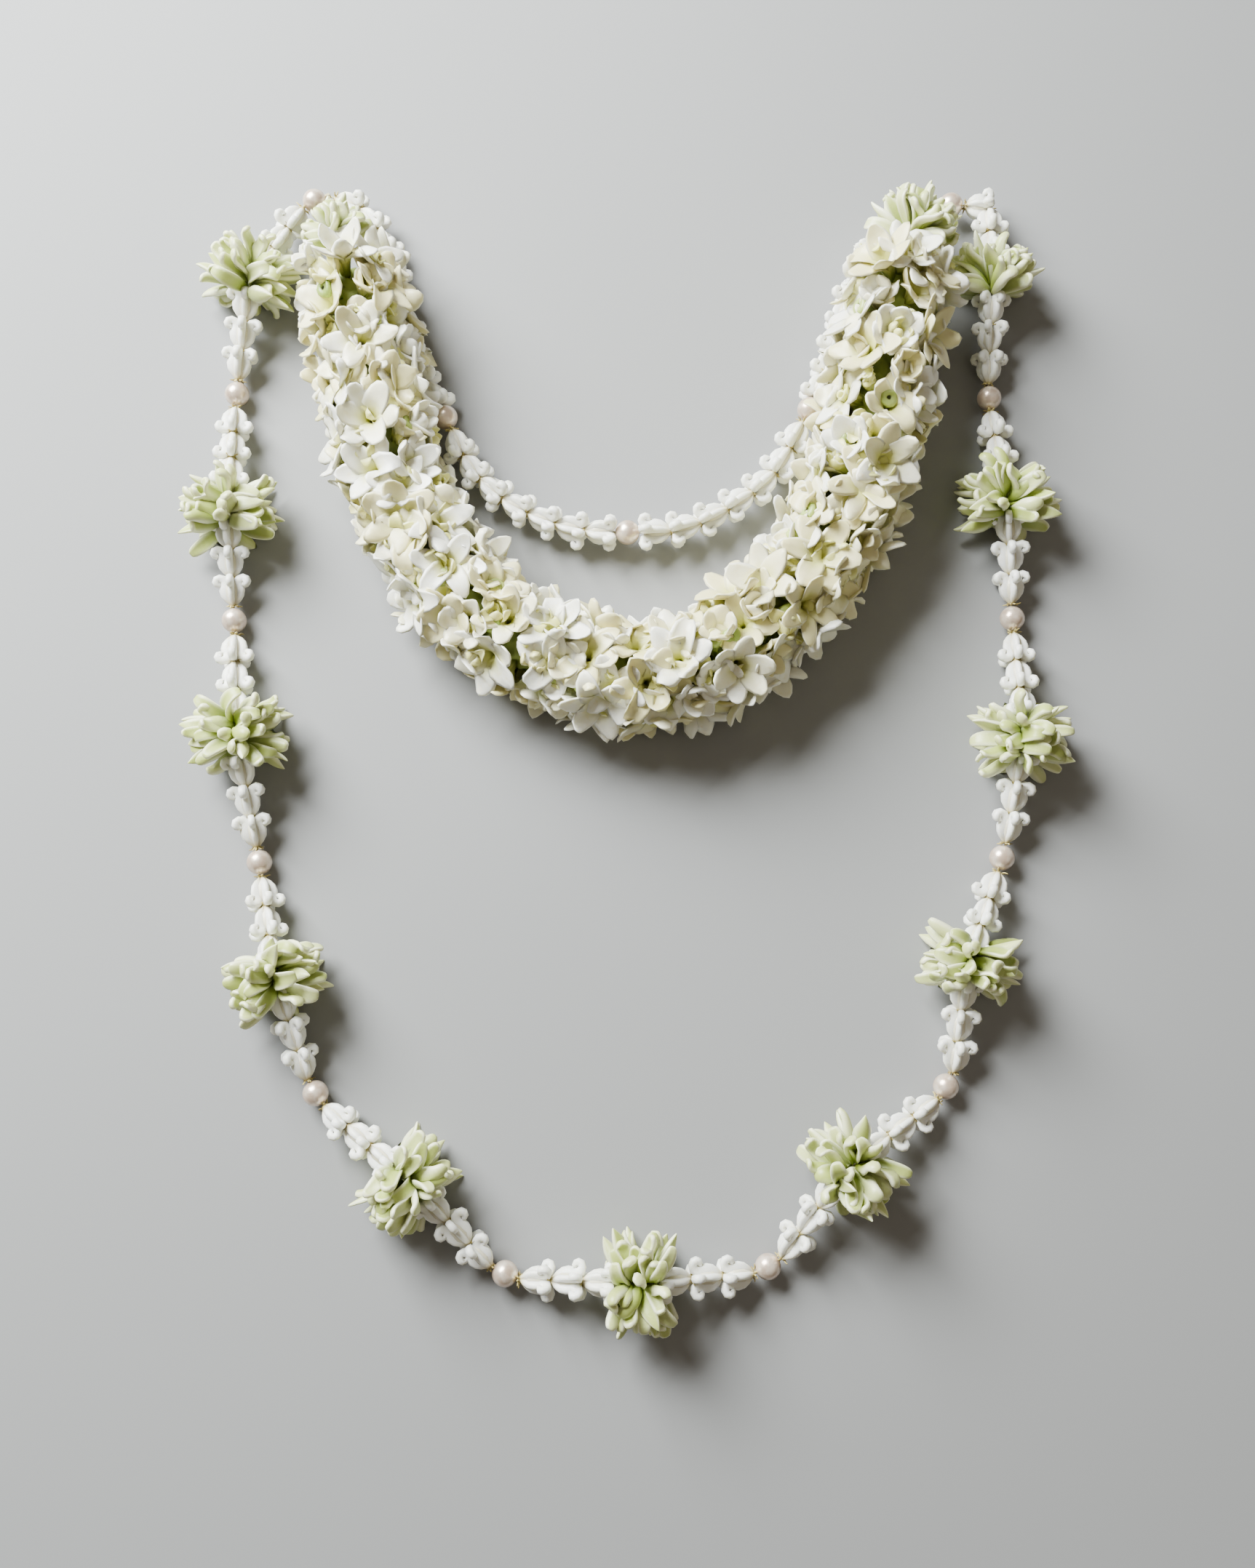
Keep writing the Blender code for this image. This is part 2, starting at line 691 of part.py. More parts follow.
# The strands
outer = outer_beads()
left, middle, right = inner_beads()
junction_left, junction_right = outer[0], outer[-1]
left_upper = inner_run("left_upper", junction_left.entry, LEFT_UPPER_BENDS, left.entry, KNOT_SPACE,
                       UPPER_FLOWERS)
left_lower = inner_run("left_lower", left.exit, LEFT_LOWER_BENDS, middle.entry, FLOWER_GAP, LOWER_FLOWERS)
right_lower = inner_run("right_lower", right.entry, RIGHT_LOWER_BENDS, middle.exit, FLOWER_GAP,
                        LOWER_FLOWERS)
right_upper = inner_run("right_upper", junction_right.exit, RIGHT_UPPER_BENDS, right.exit, KNOT_SPACE,
                        UPPER_FLOWERS)
runs = [*outer_runs(outer), left_upper, left_lower, right_lower, right_upper]
strand_points = [point for run in runs for leg in run.legs for point in leg[0].points]

add_pearl("pearl_junction_left", junction_left)
add_pearl("pearl_junction_right", junction_right)
for number, bead in enumerate(outer[2:-1:2], 1):
    add_pearl(f"pearl_outer_{number:02d}", bead)
add_pearl("pearl_inner_left", left)
add_pearl("pearl_inner_middle", middle)
add_pearl("pearl_inner_right", right)
for run in runs:
    add_flowers(run)

# The rope and the pompons
rope = Line([above((x, y), height) for x, y, height in ROPE_LINE])
rope_ends = [rope.at(0), rope.at(rope.length)]
outwards = [-rope.direction(0), rope.direction(rope.length)]
knots = [left_upper.thread[0].lerp(left_upper.thread[1], 0.34),
         right_upper.thread[0].lerp(right_upper.thread[1], 0.34)]
end_pompons = []
for end, knot in zip(rope_ends, knots):
    towards = (knot - end).normalized()
    end_pompons.append(Bead(end + towards * (CORE_REACH + END_POMPON_OFFSET), end, knot, CORE_REACH,
                            CORE_REACH))

for number, pompon in enumerate(outer[1::2], 1):
    planes = [FLOOR]
    for other in end_pompons:
        planes.append(parting_plane(pompon.centre, other.centre))
    nearest = min(rope.points, key=lambda point: (point - pompon.centre).length)
    room = (nearest - pompon.centre).length
    planes.append(parting_plane(pompon.centre, nearest, 1 - ROPE_REACH / room))
    add_pompon(f"pompon_outer_{number:02d}", pompon, planes)

for side, pompon, end, outward in zip(("left", "right"), end_pompons, rope_ends, outwards):
    planes = [END_POMPON_FLOOR, (end + outward * GAP, -outward)]
    planes += strand_planes(pompon.centre, PETAL_REACH)
    planes += [parting_plane(pompon.centre, other.centre) for other in outer[1::2]]
    add_pompon(f"pompon_rope_{side}", pompon, planes, END_POMPON_LEANS, END_POMPON_LOWEST,
               END_POMPON_BELLY)

stations = [rope.at(rope.length * step / WHORLS) for step in range(WHORLS + 1)]
rope_bore = add_cutter("rope_bore", [rope.at(-0.001), *stations[1:-1], rope.at(rope.length + 0.001)])
beside_rope = []
for pompon in outer[1::2]:
    nearest = min(rope.points, key=lambda point: (point - pompon.centre).length)
    room = (nearest - pompon.centre).length
    if room < ROPE_REACH + PETAL_REACH:
        beside_rope.append(parting_plane(nearest, pompon.centre, ROPE_REACH / room))
for index in range(SEGMENTS):
    first = round(index * WHORLS / SEGMENTS)
    last = round((index + 1) * WHORLS / SEGMENTS)
    add_rope_segment(f"rope_{index + 1}", rope, first, last, rope_bore, beside_rope)

# The thread, once round both strands and once through the rope
loop = [junction_left.exit]
for bead in outer[1:-1]:
    loop += [bead.entry, bead.exit]
loop += [on_strand(RIGHT_CORNER), junction_right.entry, *right_upper.thread, *right_lower.thread]
loop += [*reversed(left_lower.thread), *reversed(left_upper.thread)]
left_end, right_end = end_pompons
crossing = [knots[0], left_end.exit, left_end.entry, *stations, right_end.entry, right_end.exit, knots[1]]
add_thread(loop, crossing)
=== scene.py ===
"""A flower lei, lying flat: two strands of crown flowers, pearls and pompons, and a tuberose rope."""

import math

import bpy
import numpy as np
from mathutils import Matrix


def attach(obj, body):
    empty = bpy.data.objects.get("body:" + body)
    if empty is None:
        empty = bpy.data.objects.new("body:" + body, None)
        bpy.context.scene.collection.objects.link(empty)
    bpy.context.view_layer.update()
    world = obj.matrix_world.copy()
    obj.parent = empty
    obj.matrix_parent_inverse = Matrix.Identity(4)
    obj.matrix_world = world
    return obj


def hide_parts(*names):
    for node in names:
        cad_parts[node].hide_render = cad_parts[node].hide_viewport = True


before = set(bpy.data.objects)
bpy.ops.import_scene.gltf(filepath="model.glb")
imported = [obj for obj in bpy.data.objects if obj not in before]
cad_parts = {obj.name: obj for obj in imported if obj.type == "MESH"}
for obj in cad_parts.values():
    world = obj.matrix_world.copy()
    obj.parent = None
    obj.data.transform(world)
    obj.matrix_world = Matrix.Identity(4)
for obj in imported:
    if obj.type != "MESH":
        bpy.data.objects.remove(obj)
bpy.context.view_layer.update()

# The thread. A two-ply cotton thread runs once round both strands and closes on itself. A second
# length runs through the tuberose rope and is knotted to the first beside the two junction pearls.
UP = np.array([0.0, 0.0, 1.0])
GAP = 0.0003
PEARL_RADIUS = 0.0058
PEARL_HEIGHT = 0.0066
POMPON_HEIGHT = 0.0155
STRAND_HEIGHT = 0.0097
FLOWER_LENGTH = 0.0139
FLOWER_GAP = 0.0007
FLOWERS_IN_RUN = 3
CORE_REACH = 0.0045
KNOT_SPACE = 0.0055
KNOT_SHARE = 0.34
THREAD_RADIUS = 0.00042
THREAD_SIDES = 8
THREAD_STEP = 0.0007
PLY_TWIST = math.tau / 0.0032
PLY_DEPTH = 0.22
TANGENT_REACH = 0.001

# The layout's middle, which lies over the origin, then the bead centres of the outer strand, a pearl,
# a pompon, a pearl and so on, and the other lines
OUTLINE_MIDDLE = (-0.0036, -0.0011)
OUTER_BEADS = [
    (-0.153, 0.262), (-0.180, 0.219), (-0.188, 0.164), (-0.187, 0.103), (-0.185, 0.052),
    (-0.179, -0.003), (-0.169, -0.062), (-0.158, -0.114), (-0.140, -0.166), (-0.097, -0.203),
    (-0.054, -0.244), (0.006, -0.246), (0.062, -0.241), (0.098, -0.198), (0.143, -0.163),
    (0.153, -0.108), (0.172, -0.060), (0.181, -0.006), (0.181, 0.053), (0.178, 0.108),
    (0.174, 0.162), (0.175, 0.219), (0.158, 0.260),
]
RIGHT_CORNER = (0.1765, 0.258)
INNER_PEARLS = [(-0.087, 0.151), (0.000, 0.094), (0.087, 0.155)]
LEFT_UPPER = [
    (-0.145, 0.264), (-0.134, 0.260), (-0.125, 0.251), (-0.118, 0.238), (-0.113, 0.222),
    (-0.109, 0.206), (-0.105, 0.190), (-0.100, 0.175), (-0.093, 0.161),
]
LEFT_LOWER = [(-0.079, 0.133), (-0.067, 0.117), (-0.050, 0.105), (-0.031, 0.097), (-0.015, 0.094)]
RIGHT_LOWER = [(0.080, 0.140), (0.069, 0.122), (0.053, 0.109), (0.035, 0.099), (0.018, 0.094)]
RIGHT_UPPER = [
    (0.150, 0.260), (0.139, 0.254), (0.127, 0.243), (0.116, 0.229), (0.108, 0.215),
    (0.103, 0.199), (0.098, 0.182), (0.092, 0.166),
]
ROPE_LINE = [
    (-0.137, 0.235, 0.0300), (-0.133, 0.220, 0.0290), (-0.129, 0.202, 0.0280),
    (-0.122, 0.172, 0.0265), (-0.116, 0.142, 0.0245), (-0.107, 0.112, 0.0225),
    (-0.092, 0.082, 0.0215), (-0.069, 0.054, 0.0215), (-0.040, 0.033, 0.0215),
    (0.000, 0.022, 0.0215), (0.027, 0.025, 0.0215), (0.052, 0.039, 0.0215),
    (0.076, 0.062, 0.0215), (0.095, 0.090, 0.0225), (0.109, 0.119, 0.0245),
    (0.117, 0.152, 0.0265), (0.123, 0.186, 0.0285), (0.128, 0.209, 0.0310),
    (0.132, 0.230, 0.0335),
]
END_POMPON_OFFSET = 0.0058


def unit(vectors):
    """Each vector over its own length."""
    return vectors / np.linalg.norm(vectors, axis=-1, keepdims=True)


def square_to(axis):
    """A level unit vector square to each axis, and the upward one that is square to both."""
    side = unit(np.cross(axis, UP))
    return side, np.cross(side, axis)


def around(angle, first, second):
    """Directions at angles round two others: cos a first + sin a second."""
    return np.cos(angle)[..., None] * first + np.sin(angle)[..., None] * second


class Path:
    """A smooth line through given points, read by the distance along it.

    Each span is start + t/2 (end - before + t (2 before - 5 start + 4 end - after
    + t (3 start - before - 3 end + after))), with t from 0 to 1.
    """

    def __init__(self, points, samples=8):
        knots = np.asarray(points, float)
        ends = np.vstack([2 * knots[0] - knots[1], knots, 2 * knots[-1] - knots[-2]])
        before, start, end, after = (ends[i:len(ends) - 3 + i, None] for i in range(4))
        t = (np.arange(samples) / samples)[None, :, None]
        cubic = 3 * start - before - 3 * end + after
        square = 2 * before - 5 * start + 4 * end - after
        spans = start + t / 2 * (end - before + t * (square + t * cubic))
        self.points = np.vstack([spans.reshape(-1, 3), knots[-1:]])
        steps = np.linalg.norm(np.diff(self.points, axis=0), axis=1)
        self.marks = np.concatenate([[0.0], np.cumsum(steps)])
        self.length = self.marks[-1]

    def at(self, distance):
        """Points at distances along the line, straight on past either end."""
        distance = np.asarray(distance, float)
        index = np.clip(np.searchsorted(self.marks, distance, side="right") - 1, 0, len(self.marks) - 2)
        share = (distance - self.marks[index]) / (self.marks[index + 1] - self.marks[index])
        return self.points[index] + share[..., None] * (self.points[index + 1] - self.points[index])

    def frame(self, distance):
        """Points, unit tangents, and the unit sides and ups that are square to them."""
        tangent = unit(self.at(distance + TANGENT_REACH) - self.at(distance - TANGENT_REACH))
        return self.at(distance), tangent, *square_to(tangent)


class Bead:
    """A drilled piece on the thread: its centre, its axis, and where the thread goes in and out."""

    def __init__(self, centre, before, after, reach_in=PEARL_RADIUS, reach_out=PEARL_RADIUS):
        self.centre = centre
        self.axis = unit(unit(centre - before) + unit(after - centre))
        self.entry = centre - self.axis * (reach_in + GAP)
        self.exit = centre + self.axis * (reach_out + GAP)


def on_strand(place, height=STRAND_HEIGHT):
    """A point above a place of the layout, where the thread lies."""
    return np.array([*np.subtract(place, OUTLINE_MIDDLE), height])


def core_reach(distance, flowers=FLOWERS_IN_RUN, start=PEARL_RADIUS + GAP + FLOWER_GAP):
    """How far a pompon's core reaches along the thread, once whole flowers have filled the rest."""
    return max(CORE_REACH, distance - start - flowers * FLOWER_LENGTH - FLOWER_GAP - GAP)


def outer_beads():
    """The beads of the outer strand, from the left junction pearl to the right one."""
    last = len(OUTER_BEADS) - 1
    heights = [STRAND_HEIGHT if index in (0, last) else POMPON_HEIGHT if index % 2 else PEARL_HEIGHT
               for index in range(last + 1)]
    centres = [on_strand(place, height) for place, height in zip(OUTER_BEADS, heights)]
    # The thread turns a corner between the last pompon and the right junction pearl
    stops = [on_strand(LEFT_UPPER[0]), *centres[:last], on_strand(RIGHT_CORNER), centres[last],
             on_strand(RIGHT_UPPER[0])]
    beads = []
    for index, centre in enumerate(centres):
        place = index + 1 if index < last else last + 2
        before, after = stops[place - 1], stops[place + 1]
        reach_in = reach_out = PEARL_RADIUS
        if index % 2:
            reach_in = core_reach(np.linalg.norm(centre - before))
            reach_out = core_reach(np.linalg.norm(after - centre))
        if index == last - 1:
            reach_out = core_reach(np.linalg.norm(after - centre), FLOWERS_IN_RUN - 1, 0)
        beads.append(Bead(centre, before, after, reach_in, reach_out))
    return beads


outer = outer_beads()
corner = on_strand(RIGHT_CORNER)
pearls, left_upper, left_lower, right_lower, right_upper = (
    [on_strand(place) for place in places]
    for places in (INNER_PEARLS, LEFT_UPPER, LEFT_LOWER, RIGHT_LOWER, RIGHT_UPPER))
inner = [
    Bead(pearls[0], left_upper[-1], left_lower[0]),
    Bead(pearls[1], left_lower[-1], right_lower[-1]),
    Bead(pearls[2], right_lower[0], right_upper[-1]),
]
inner_lines = {
    "left_upper": Path([outer[0].entry, *left_upper, inner[0].entry]),
    "left_lower": Path([inner[0].exit, *left_lower, inner[1].entry]),
    "right_lower": Path([inner[2].entry, *right_lower, inner[1].exit]),
    "right_upper": Path([outer[-1].exit, *right_upper, inner[2].exit]),
}
rope = Path([on_strand((x, y), height) for x, y, height in ROPE_LINE])
knots = [inner_lines[name].at(KNOT_SHARE * KNOT_SPACE) for name in ("left_upper", "right_upper")]
rope_ends = [rope.at(0), rope.at(rope.length)]
end_pompons = []
for rope_end, knot in zip(rope_ends, knots):
    towards = unit(knot - rope_end)
    end_pompons.append(Bead(rope_end + towards * (CORE_REACH + END_POMPON_OFFSET), rope_end, knot,
                            CORE_REACH, CORE_REACH))


class Wire:
    """A number worked out by a material's nodes: a formula on it adds Math nodes."""

    def __init__(self, finish, socket):
        self.finish = finish
        self.socket = socket

    def apply(self, operation, first, second):
        """One Math node on two numbers, either of which may be a wire."""
        return self.finish.node("Math", {"operation": operation}, {0: first, 1: second})

    def __add__(self, other):
        return self.apply("ADD", self, other)

    __radd__ = __add__

    def __rsub__(self, other):
        return self.apply("SUBTRACT", other, self)

    def __mul__(self, other):
        return self.apply("MULTIPLY", self, other)

    __rmul__ = __mul__


class Finish:
    """A material with one Principled shader. Sockets are named by name or by number."""

    def __init__(self, name, **constants):
        self.material = bpy.data.materials.new(name)
        self.material.use_nodes = True
        self.tree = self.material.node_tree
        self.shader = self.tree.nodes["Principled BSDF"]
        for constant, value in constants.items():
            socket = constant.replace("_", " ").title().replace("Ior", "IOR")
            self.shader.inputs[socket].default_value = value

    def connect(self, node, sockets):
        """Links wires to a node's sockets, and sets the other sockets to plain values."""
        for socket, value in sockets.items():
            if isinstance(value, Wire):
                self.tree.links.new(value.socket, node.inputs[socket])
            else:
                node.inputs[socket].default_value = value

    def node(self, kind, settings, sockets, output=0):
        """Adds a shader node, sets it up, fills its sockets, and gives one of its outputs."""
        made = self.tree.nodes.new("ShaderNode" + kind)
        for setting, value in settings.items():
            setattr(made, setting, value)
        self.connect(made, sockets)
        return Wire(self, made.outputs[output])

    def stored(self, name, output=0):
        """An attribute stored on the piece's vertices."""
        return self.node("Attribute", {"attribute_name": name}, {}, output)

    def mix(self, factor, low, high):
        """A colour between two others."""
        return self.node("Mix", {"data_type": "RGBA"}, {0: factor, 6: low, 7: high}, 2)

    def span(self, value, low, high):
        """0 below low, 1 above high, and a smooth step between them."""
        return self.node("MapRange", {"interpolation_type": "SMOOTHSTEP"},
                         {"Value": value, "From Min": low, "From Max": high})

    def noise(self, scale, detail=2.0):
        """Cloudy numbers from 0 to 1 over the piece."""
        place = self.node("TexCoord", {}, {}, "Object")
        return self.node("TexNoise", {}, {"Vector": place, "Scale": scale, "Detail": detail})

    def bump(self, height, distance, strength=1.0):
        """Lets a height ruffle the surface."""
        normal = self.node("Bump", {}, {"Height": height, "Distance": distance, "Strength": strength})
        self.connect(self.shader, {"Normal": normal})


def colour(red, green, blue):
    """A colour as the sockets take it, with no transparency."""
    return red, green, blue, 1.0


def skins(name, grids, tints, finish):
    """One object made of many closed skins, in one mesh.

    A skin is a stack of rings, grids[piece, ring, step], and its first and last rings are single
    points. tints holds four numbers for each vertex, which the material reads as the attribute tint.
    Where the faces' normals point inwards on the whole, every face is turned over.
    """
    pieces, rings, steps = grids.shape[:3]
    poles = grids[:, (0, -1), 0]
    vertices = np.concatenate([grids[:, 1:-1].reshape(pieces, -1, 3), poles], axis=1)
    tints = np.broadcast_to(tints, (pieces, rings, steps, 4))
    stored = np.concatenate([tints[:, 1:-1].reshape(pieces, -1, 4), tints[:, (0, -1), 0]], axis=1)
    inside = rings - 2
    here = np.arange(inside * steps).reshape(inside, steps)
    beside = np.roll(here, -1, axis=1)
    quads = np.stack([here[:-1], beside[:-1], beside[1:], here[1:]], axis=-1).reshape(-1, 4)
    first, last = inside * steps, inside * steps + 1
    low = np.stack([np.full(steps, first), beside[0], here[0]], axis=-1)
    high = np.stack([np.full(steps, last), here[-1], beside[-1]], axis=-1)
    triangles = np.concatenate([low, high])
    a, b, c, d = (vertices[:, quads[:, i]] for i in range(4))
    from_middle = a + b + c + d - 4 * vertices.mean(1)[:, None]
    if np.einsum("pqi,pqi->", np.cross(c - a, d - b), from_middle) < 0:
        quads, triangles = quads[:, ::-1], triangles[:, ::-1]
    shift = (np.arange(pieces) * vertices.shape[1])[:, None, None]
    corners = np.concatenate([(quads + shift).reshape(-1), (triangles + shift).reshape(-1)])
    sizes = np.repeat([4, 3], [len(quads) * pieces, len(triangles) * pieces])
    starts = np.cumsum(sizes) - sizes
    mesh = bpy.data.meshes.new(name)
    mesh.vertices.add(vertices.size // 3)
    mesh.vertices.foreach_set("co", vertices.reshape(-1).astype(np.float32))
    mesh.loops.add(len(corners))
    mesh.loops.foreach_set("vertex_index", corners.astype(np.int32))
    mesh.polygons.add(len(sizes))
    mesh.polygons.foreach_set("loop_start", starts.astype(np.int32))
    mesh.polygons.foreach_set("use_smooth", np.ones(len(sizes), bool))
    mesh.update(calc_edges=True)
    tint = mesh.attributes.new("tint", "FLOAT_COLOR", "POINT")
    tint.data.foreach_set("color", stored.reshape(-1).astype(np.float32))
    mesh.materials.append(finish.material)
    piece = bpy.data.objects.new(name, mesh)
    bpy.context.scene.collection.objects.link(piece)
    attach(piece, "root")
    return piece


def joined(pieces, name):
    """Several pieces as one object, each keeping its own material."""
    first = pieces[0]
    with bpy.context.temp_override(active_object=first, selected_editable_objects=pieces):
        bpy.ops.object.join()
    first.name = name
    return first


def twisted_thread(name, points):
    """A cord of two plies, of radius R (1 + depth cos 2 (a - twist s)) at angle a and distance s."""
    path = Path(points, samples=1)
    count = int(path.length / THREAD_STEP)
    distance = np.linspace(0, path.length, count)
    centre, _, side, up = path.frame(distance)
    angle = np.linspace(0, math.tau, THREAD_SIDES, endpoint=False)[None, :]
    radius = THREAD_RADIUS * (1 + PLY_DEPTH * np.cos(2 * (angle - PLY_TWIST * distance[:, None])))
    rings = centre[:, None] + radius[..., None] * around(angle, up[:, None], side[:, None])
    rings[0] = centre[0]
    rings[-1] = centre[-1]
    # Of the tints only the third number is read, which tells a ply from a groove
    tints = np.ones((*radius.shape, 4))
    tints[..., 2] = radius / THREAD_RADIUS
    return skins(name, rings[None], tints[None], cotton)


cotton = Finish("thread", roughness=0.85)
ply = cotton.node("SeparateColor", {}, {"Color": cotton.stored("tint")}, 2)
fluff = cotton.noise(900)
# Painted shade: the grooves between the plies are painted darker than the crowns of the plies
lit_ply = cotton.span(ply + 0.2 * fluff, 0.8, 1.35)
fibre_with_groove_shade = cotton.mix(lit_ply, colour(0.30, 0.27, 0.13), colour(0.66, 0.60, 0.38))
cotton.connect(cotton.shader, {"Base Color": fibre_with_groove_shade})
cotton.bump(fluff, 0.0002)

STRAND_STOPS = 12
ROPE_STOPS = 30
KNOT_TURNS = 3
KNOT_STOPS = 26
KNOT_RADIUS = 0.00105
KNOT_RIPPLE = 0.2


def knot_winding(centre):
    """Turns about a point, R (cos a, sin a cos a/5, sin a sin a/5): a circle that slowly rolls over.

    A small sine of 3 a is added to the height, so that the turns ride over each other.
    """
    a = np.linspace(0, math.tau * KNOT_TURNS, KNOT_STOPS)
    height = np.sin(a) * np.sin(a / 5) + KNOT_RIPPLE * np.sin(3 * a)
    return centre + KNOT_RADIUS * np.stack([np.cos(a), np.sin(a) * np.cos(a / 5), height], axis=-1)


loop = [outer[0].exit]
for bead in outer[1:-1]:
    loop += [bead.entry, bead.exit]
loop += [corner, outer[-1].entry]
for name, backwards in (("right_upper", False), ("right_lower", False),
                        ("left_lower", True), ("left_upper", True)):
    stops = inner_lines[name].at(np.linspace(0, inner_lines[name].length, STRAND_STOPS))
    loop += list(stops[::-1] if backwards else stops)
crossing = [knots[0], end_pompons[0].exit, end_pompons[0].entry,
            *rope.at(np.linspace(0, rope.length, ROPE_STOPS)),
            end_pompons[1].entry, end_pompons[1].exit, knots[1]]
threads = [twisted_thread("strand_thread", [*loop, loop[0]]), twisted_thread("rope_thread", crossing)]
threads += [twisted_thread("knot", knot_winding(knot)) for knot in knots]
thread = joined(threads, "two_ply_thread")
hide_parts("thread")

# The pearls. Fifteen round beads with a thin cream coat over a pinkish body, drilled through, and
# held on the thread by the flowers on either side.
PEARL_RINGS = 22
PEARL_STEPS = 32
PEARL_BORE = 0.0009
MOUTH_SHARE = 0.8
MOUTH_FLOOR = 0.93
pearl_turns = np.linspace(0, math.tau, PEARL_STEPS, endpoint=False)
# From pole to pole: the floor of the bore's mouth, the sphere from rim to rim, and the other floor
rim = math.asin(PEARL_BORE / PEARL_RADIUS)
sweep = np.linspace(rim, math.pi - rim, PEARL_RINGS)
floor_radius = MOUTH_SHARE * PEARL_BORE
pearl_radius = np.concatenate([[0, floor_radius], PEARL_RADIUS * np.sin(sweep), [floor_radius, 0]])
pearl_height = np.concatenate([[MOUTH_FLOOR] * 2, np.cos(sweep), [-MOUTH_FLOOR] * 2]) * PEARL_RADIUS


def pearl(bead):
    """A sphere, (R sin a cos b, R sin a sin b, R cos a), with a dimple at each mouth of its bore."""
    ring = around(pearl_turns, *square_to(bead.axis))
    height = (pearl_height[:, None] * bead.axis)[:, None]
    return bead.centre + pearl_radius[:, None, None] * ring + height


nacre = Finish("pearl", metallic=0.5, coat_weight=0.9, coat_roughness=0.16, specular_ior_level=0.7)
clouds = nacre.noise(260, 3.0)
cream = nacre.mix(nacre.span(clouds, 0.35, 0.7), colour(0.64, 0.48, 0.36), colour(0.83, 0.71, 0.59))
nacre.connect(nacre.shader, {"Base Color": cream, "Roughness": 0.26 + 0.12 * clouds})
nacre.bump(nacre.noise(1400), 0.00004)

pearl_nodes = [("pearl_junction_left", outer[0]), ("pearl_junction_right", outer[-1])]
pearl_nodes += [(f"pearl_outer_{number:02d}", bead) for number, bead in enumerate(outer[2:-1:2], 1)]
pearl_nodes += list(zip(("pearl_inner_left", "pearl_inner_middle", "pearl_inner_right"), inner))
for node, bead in pearl_nodes:
    piece = skins(node.replace("pearl", "bead"), pearl(bead)[None], (0, 0, 0, 1), nacre)
    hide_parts(node)

# The crown flowers. The crowns of small waxy flowers, threaded by the needle in runs, each pushed into
# the one before. A crown has five thick fins: a narrow neck, a bulging body and an end rolled outwards.
FINS = 5
FIN_STEPS = 8
FIN_POWER = 0.62
BODY_LENGTH = 0.0112
NECK_RADIUS = 0.0018
NECK_SHARE = 0.1
BELLY_SHARE = 0.7
BELLY_RADIUS = 0.0064
SHOULDER_RADIUS = 0.0058
CURL_CENTRE = (0.0118, 0.0064)
CURL_TURN = math.radians(325)
CURL_SHARES = (0.0, 0.25, 0.5, 0.75, 1.0)
CURL_RADII = (0.0031, 0.0021, 0.0015, 0.0011, 0.0008)
CURL_DEPTHS = (0.0024, 0.0018, 0.0017, 0.0016, 0.0014)
BODY_WIDTHS = ((0, 0.4, 1), (0.0009, 0.0016, 0.0015))
CURL_WIDTHS = ((0, 0.5, 1), (0.0016, 0.0018, 0.0014))
CROWN_TURN = 0.2
FIN_TURN = 0.06
FIN_SPREADS = (0.94, 1.05)
FIN_WIDTHS = (0.9, 1.1)
SEED = 7
chance = np.random.default_rng(SEED)
uniform = chance.uniform


def jitter(amount, shape):
    """Random numbers from -amount to amount."""
    return uniform(-amount, amount, shape)


def rounded(value, power):
    """A cosine or sine drawn towards a square, by its sign times its size to a power under 1."""
    return np.sign(value) * np.abs(value) ** power


def blades(root, rise, bend, spine, half_width, half_depth, cup, steps, power=1.0):
    """Closed blades, each carried along its own flat spine.

    With e the bend direction, d the rise and b = d x e, a point is
    root + spine_0 e + spine_1 d + width cos v b + (depth sin v + cup cos^2 v) n,
    where n is square to the spine in the plane of e and d, and v goes once round the blade.
    A power under 1 makes the section squarer.
    """
    across = np.cross(rise, bend)[:, None, None]
    step = unit(np.gradient(spine, axis=1))
    v = np.linspace(0, math.tau, steps, endpoint=False)
    normal = -step[..., 1:] * bend[:, None] + step[..., :1] * rise[:, None]
    centre = root[:, None] + spine[..., :1] * bend[:, None] + spine[..., 1:] * rise[:, None]
    width = half_width[..., None, None] * rounded(np.cos(v), power)[:, None] * across
    lift = half_depth[..., None] * rounded(np.sin(v), power) + cup[..., None] * np.cos(v) ** 2
    return centre[:, :, None] + width + lift[..., None] * normal[:, :, None]


def blade_tints(along, steps, luck):
    """For each vertex: how far along it is, how near an edge, its blade's luck, and its face."""
    v = np.linspace(0, math.tau, steps, endpoint=False)
    return np.stack(np.broadcast_arrays(along[:, None], np.abs(np.cos(v)), luck[:, None, None],
                                        0.5 + 0.5 * np.sin(v)), axis=-1)


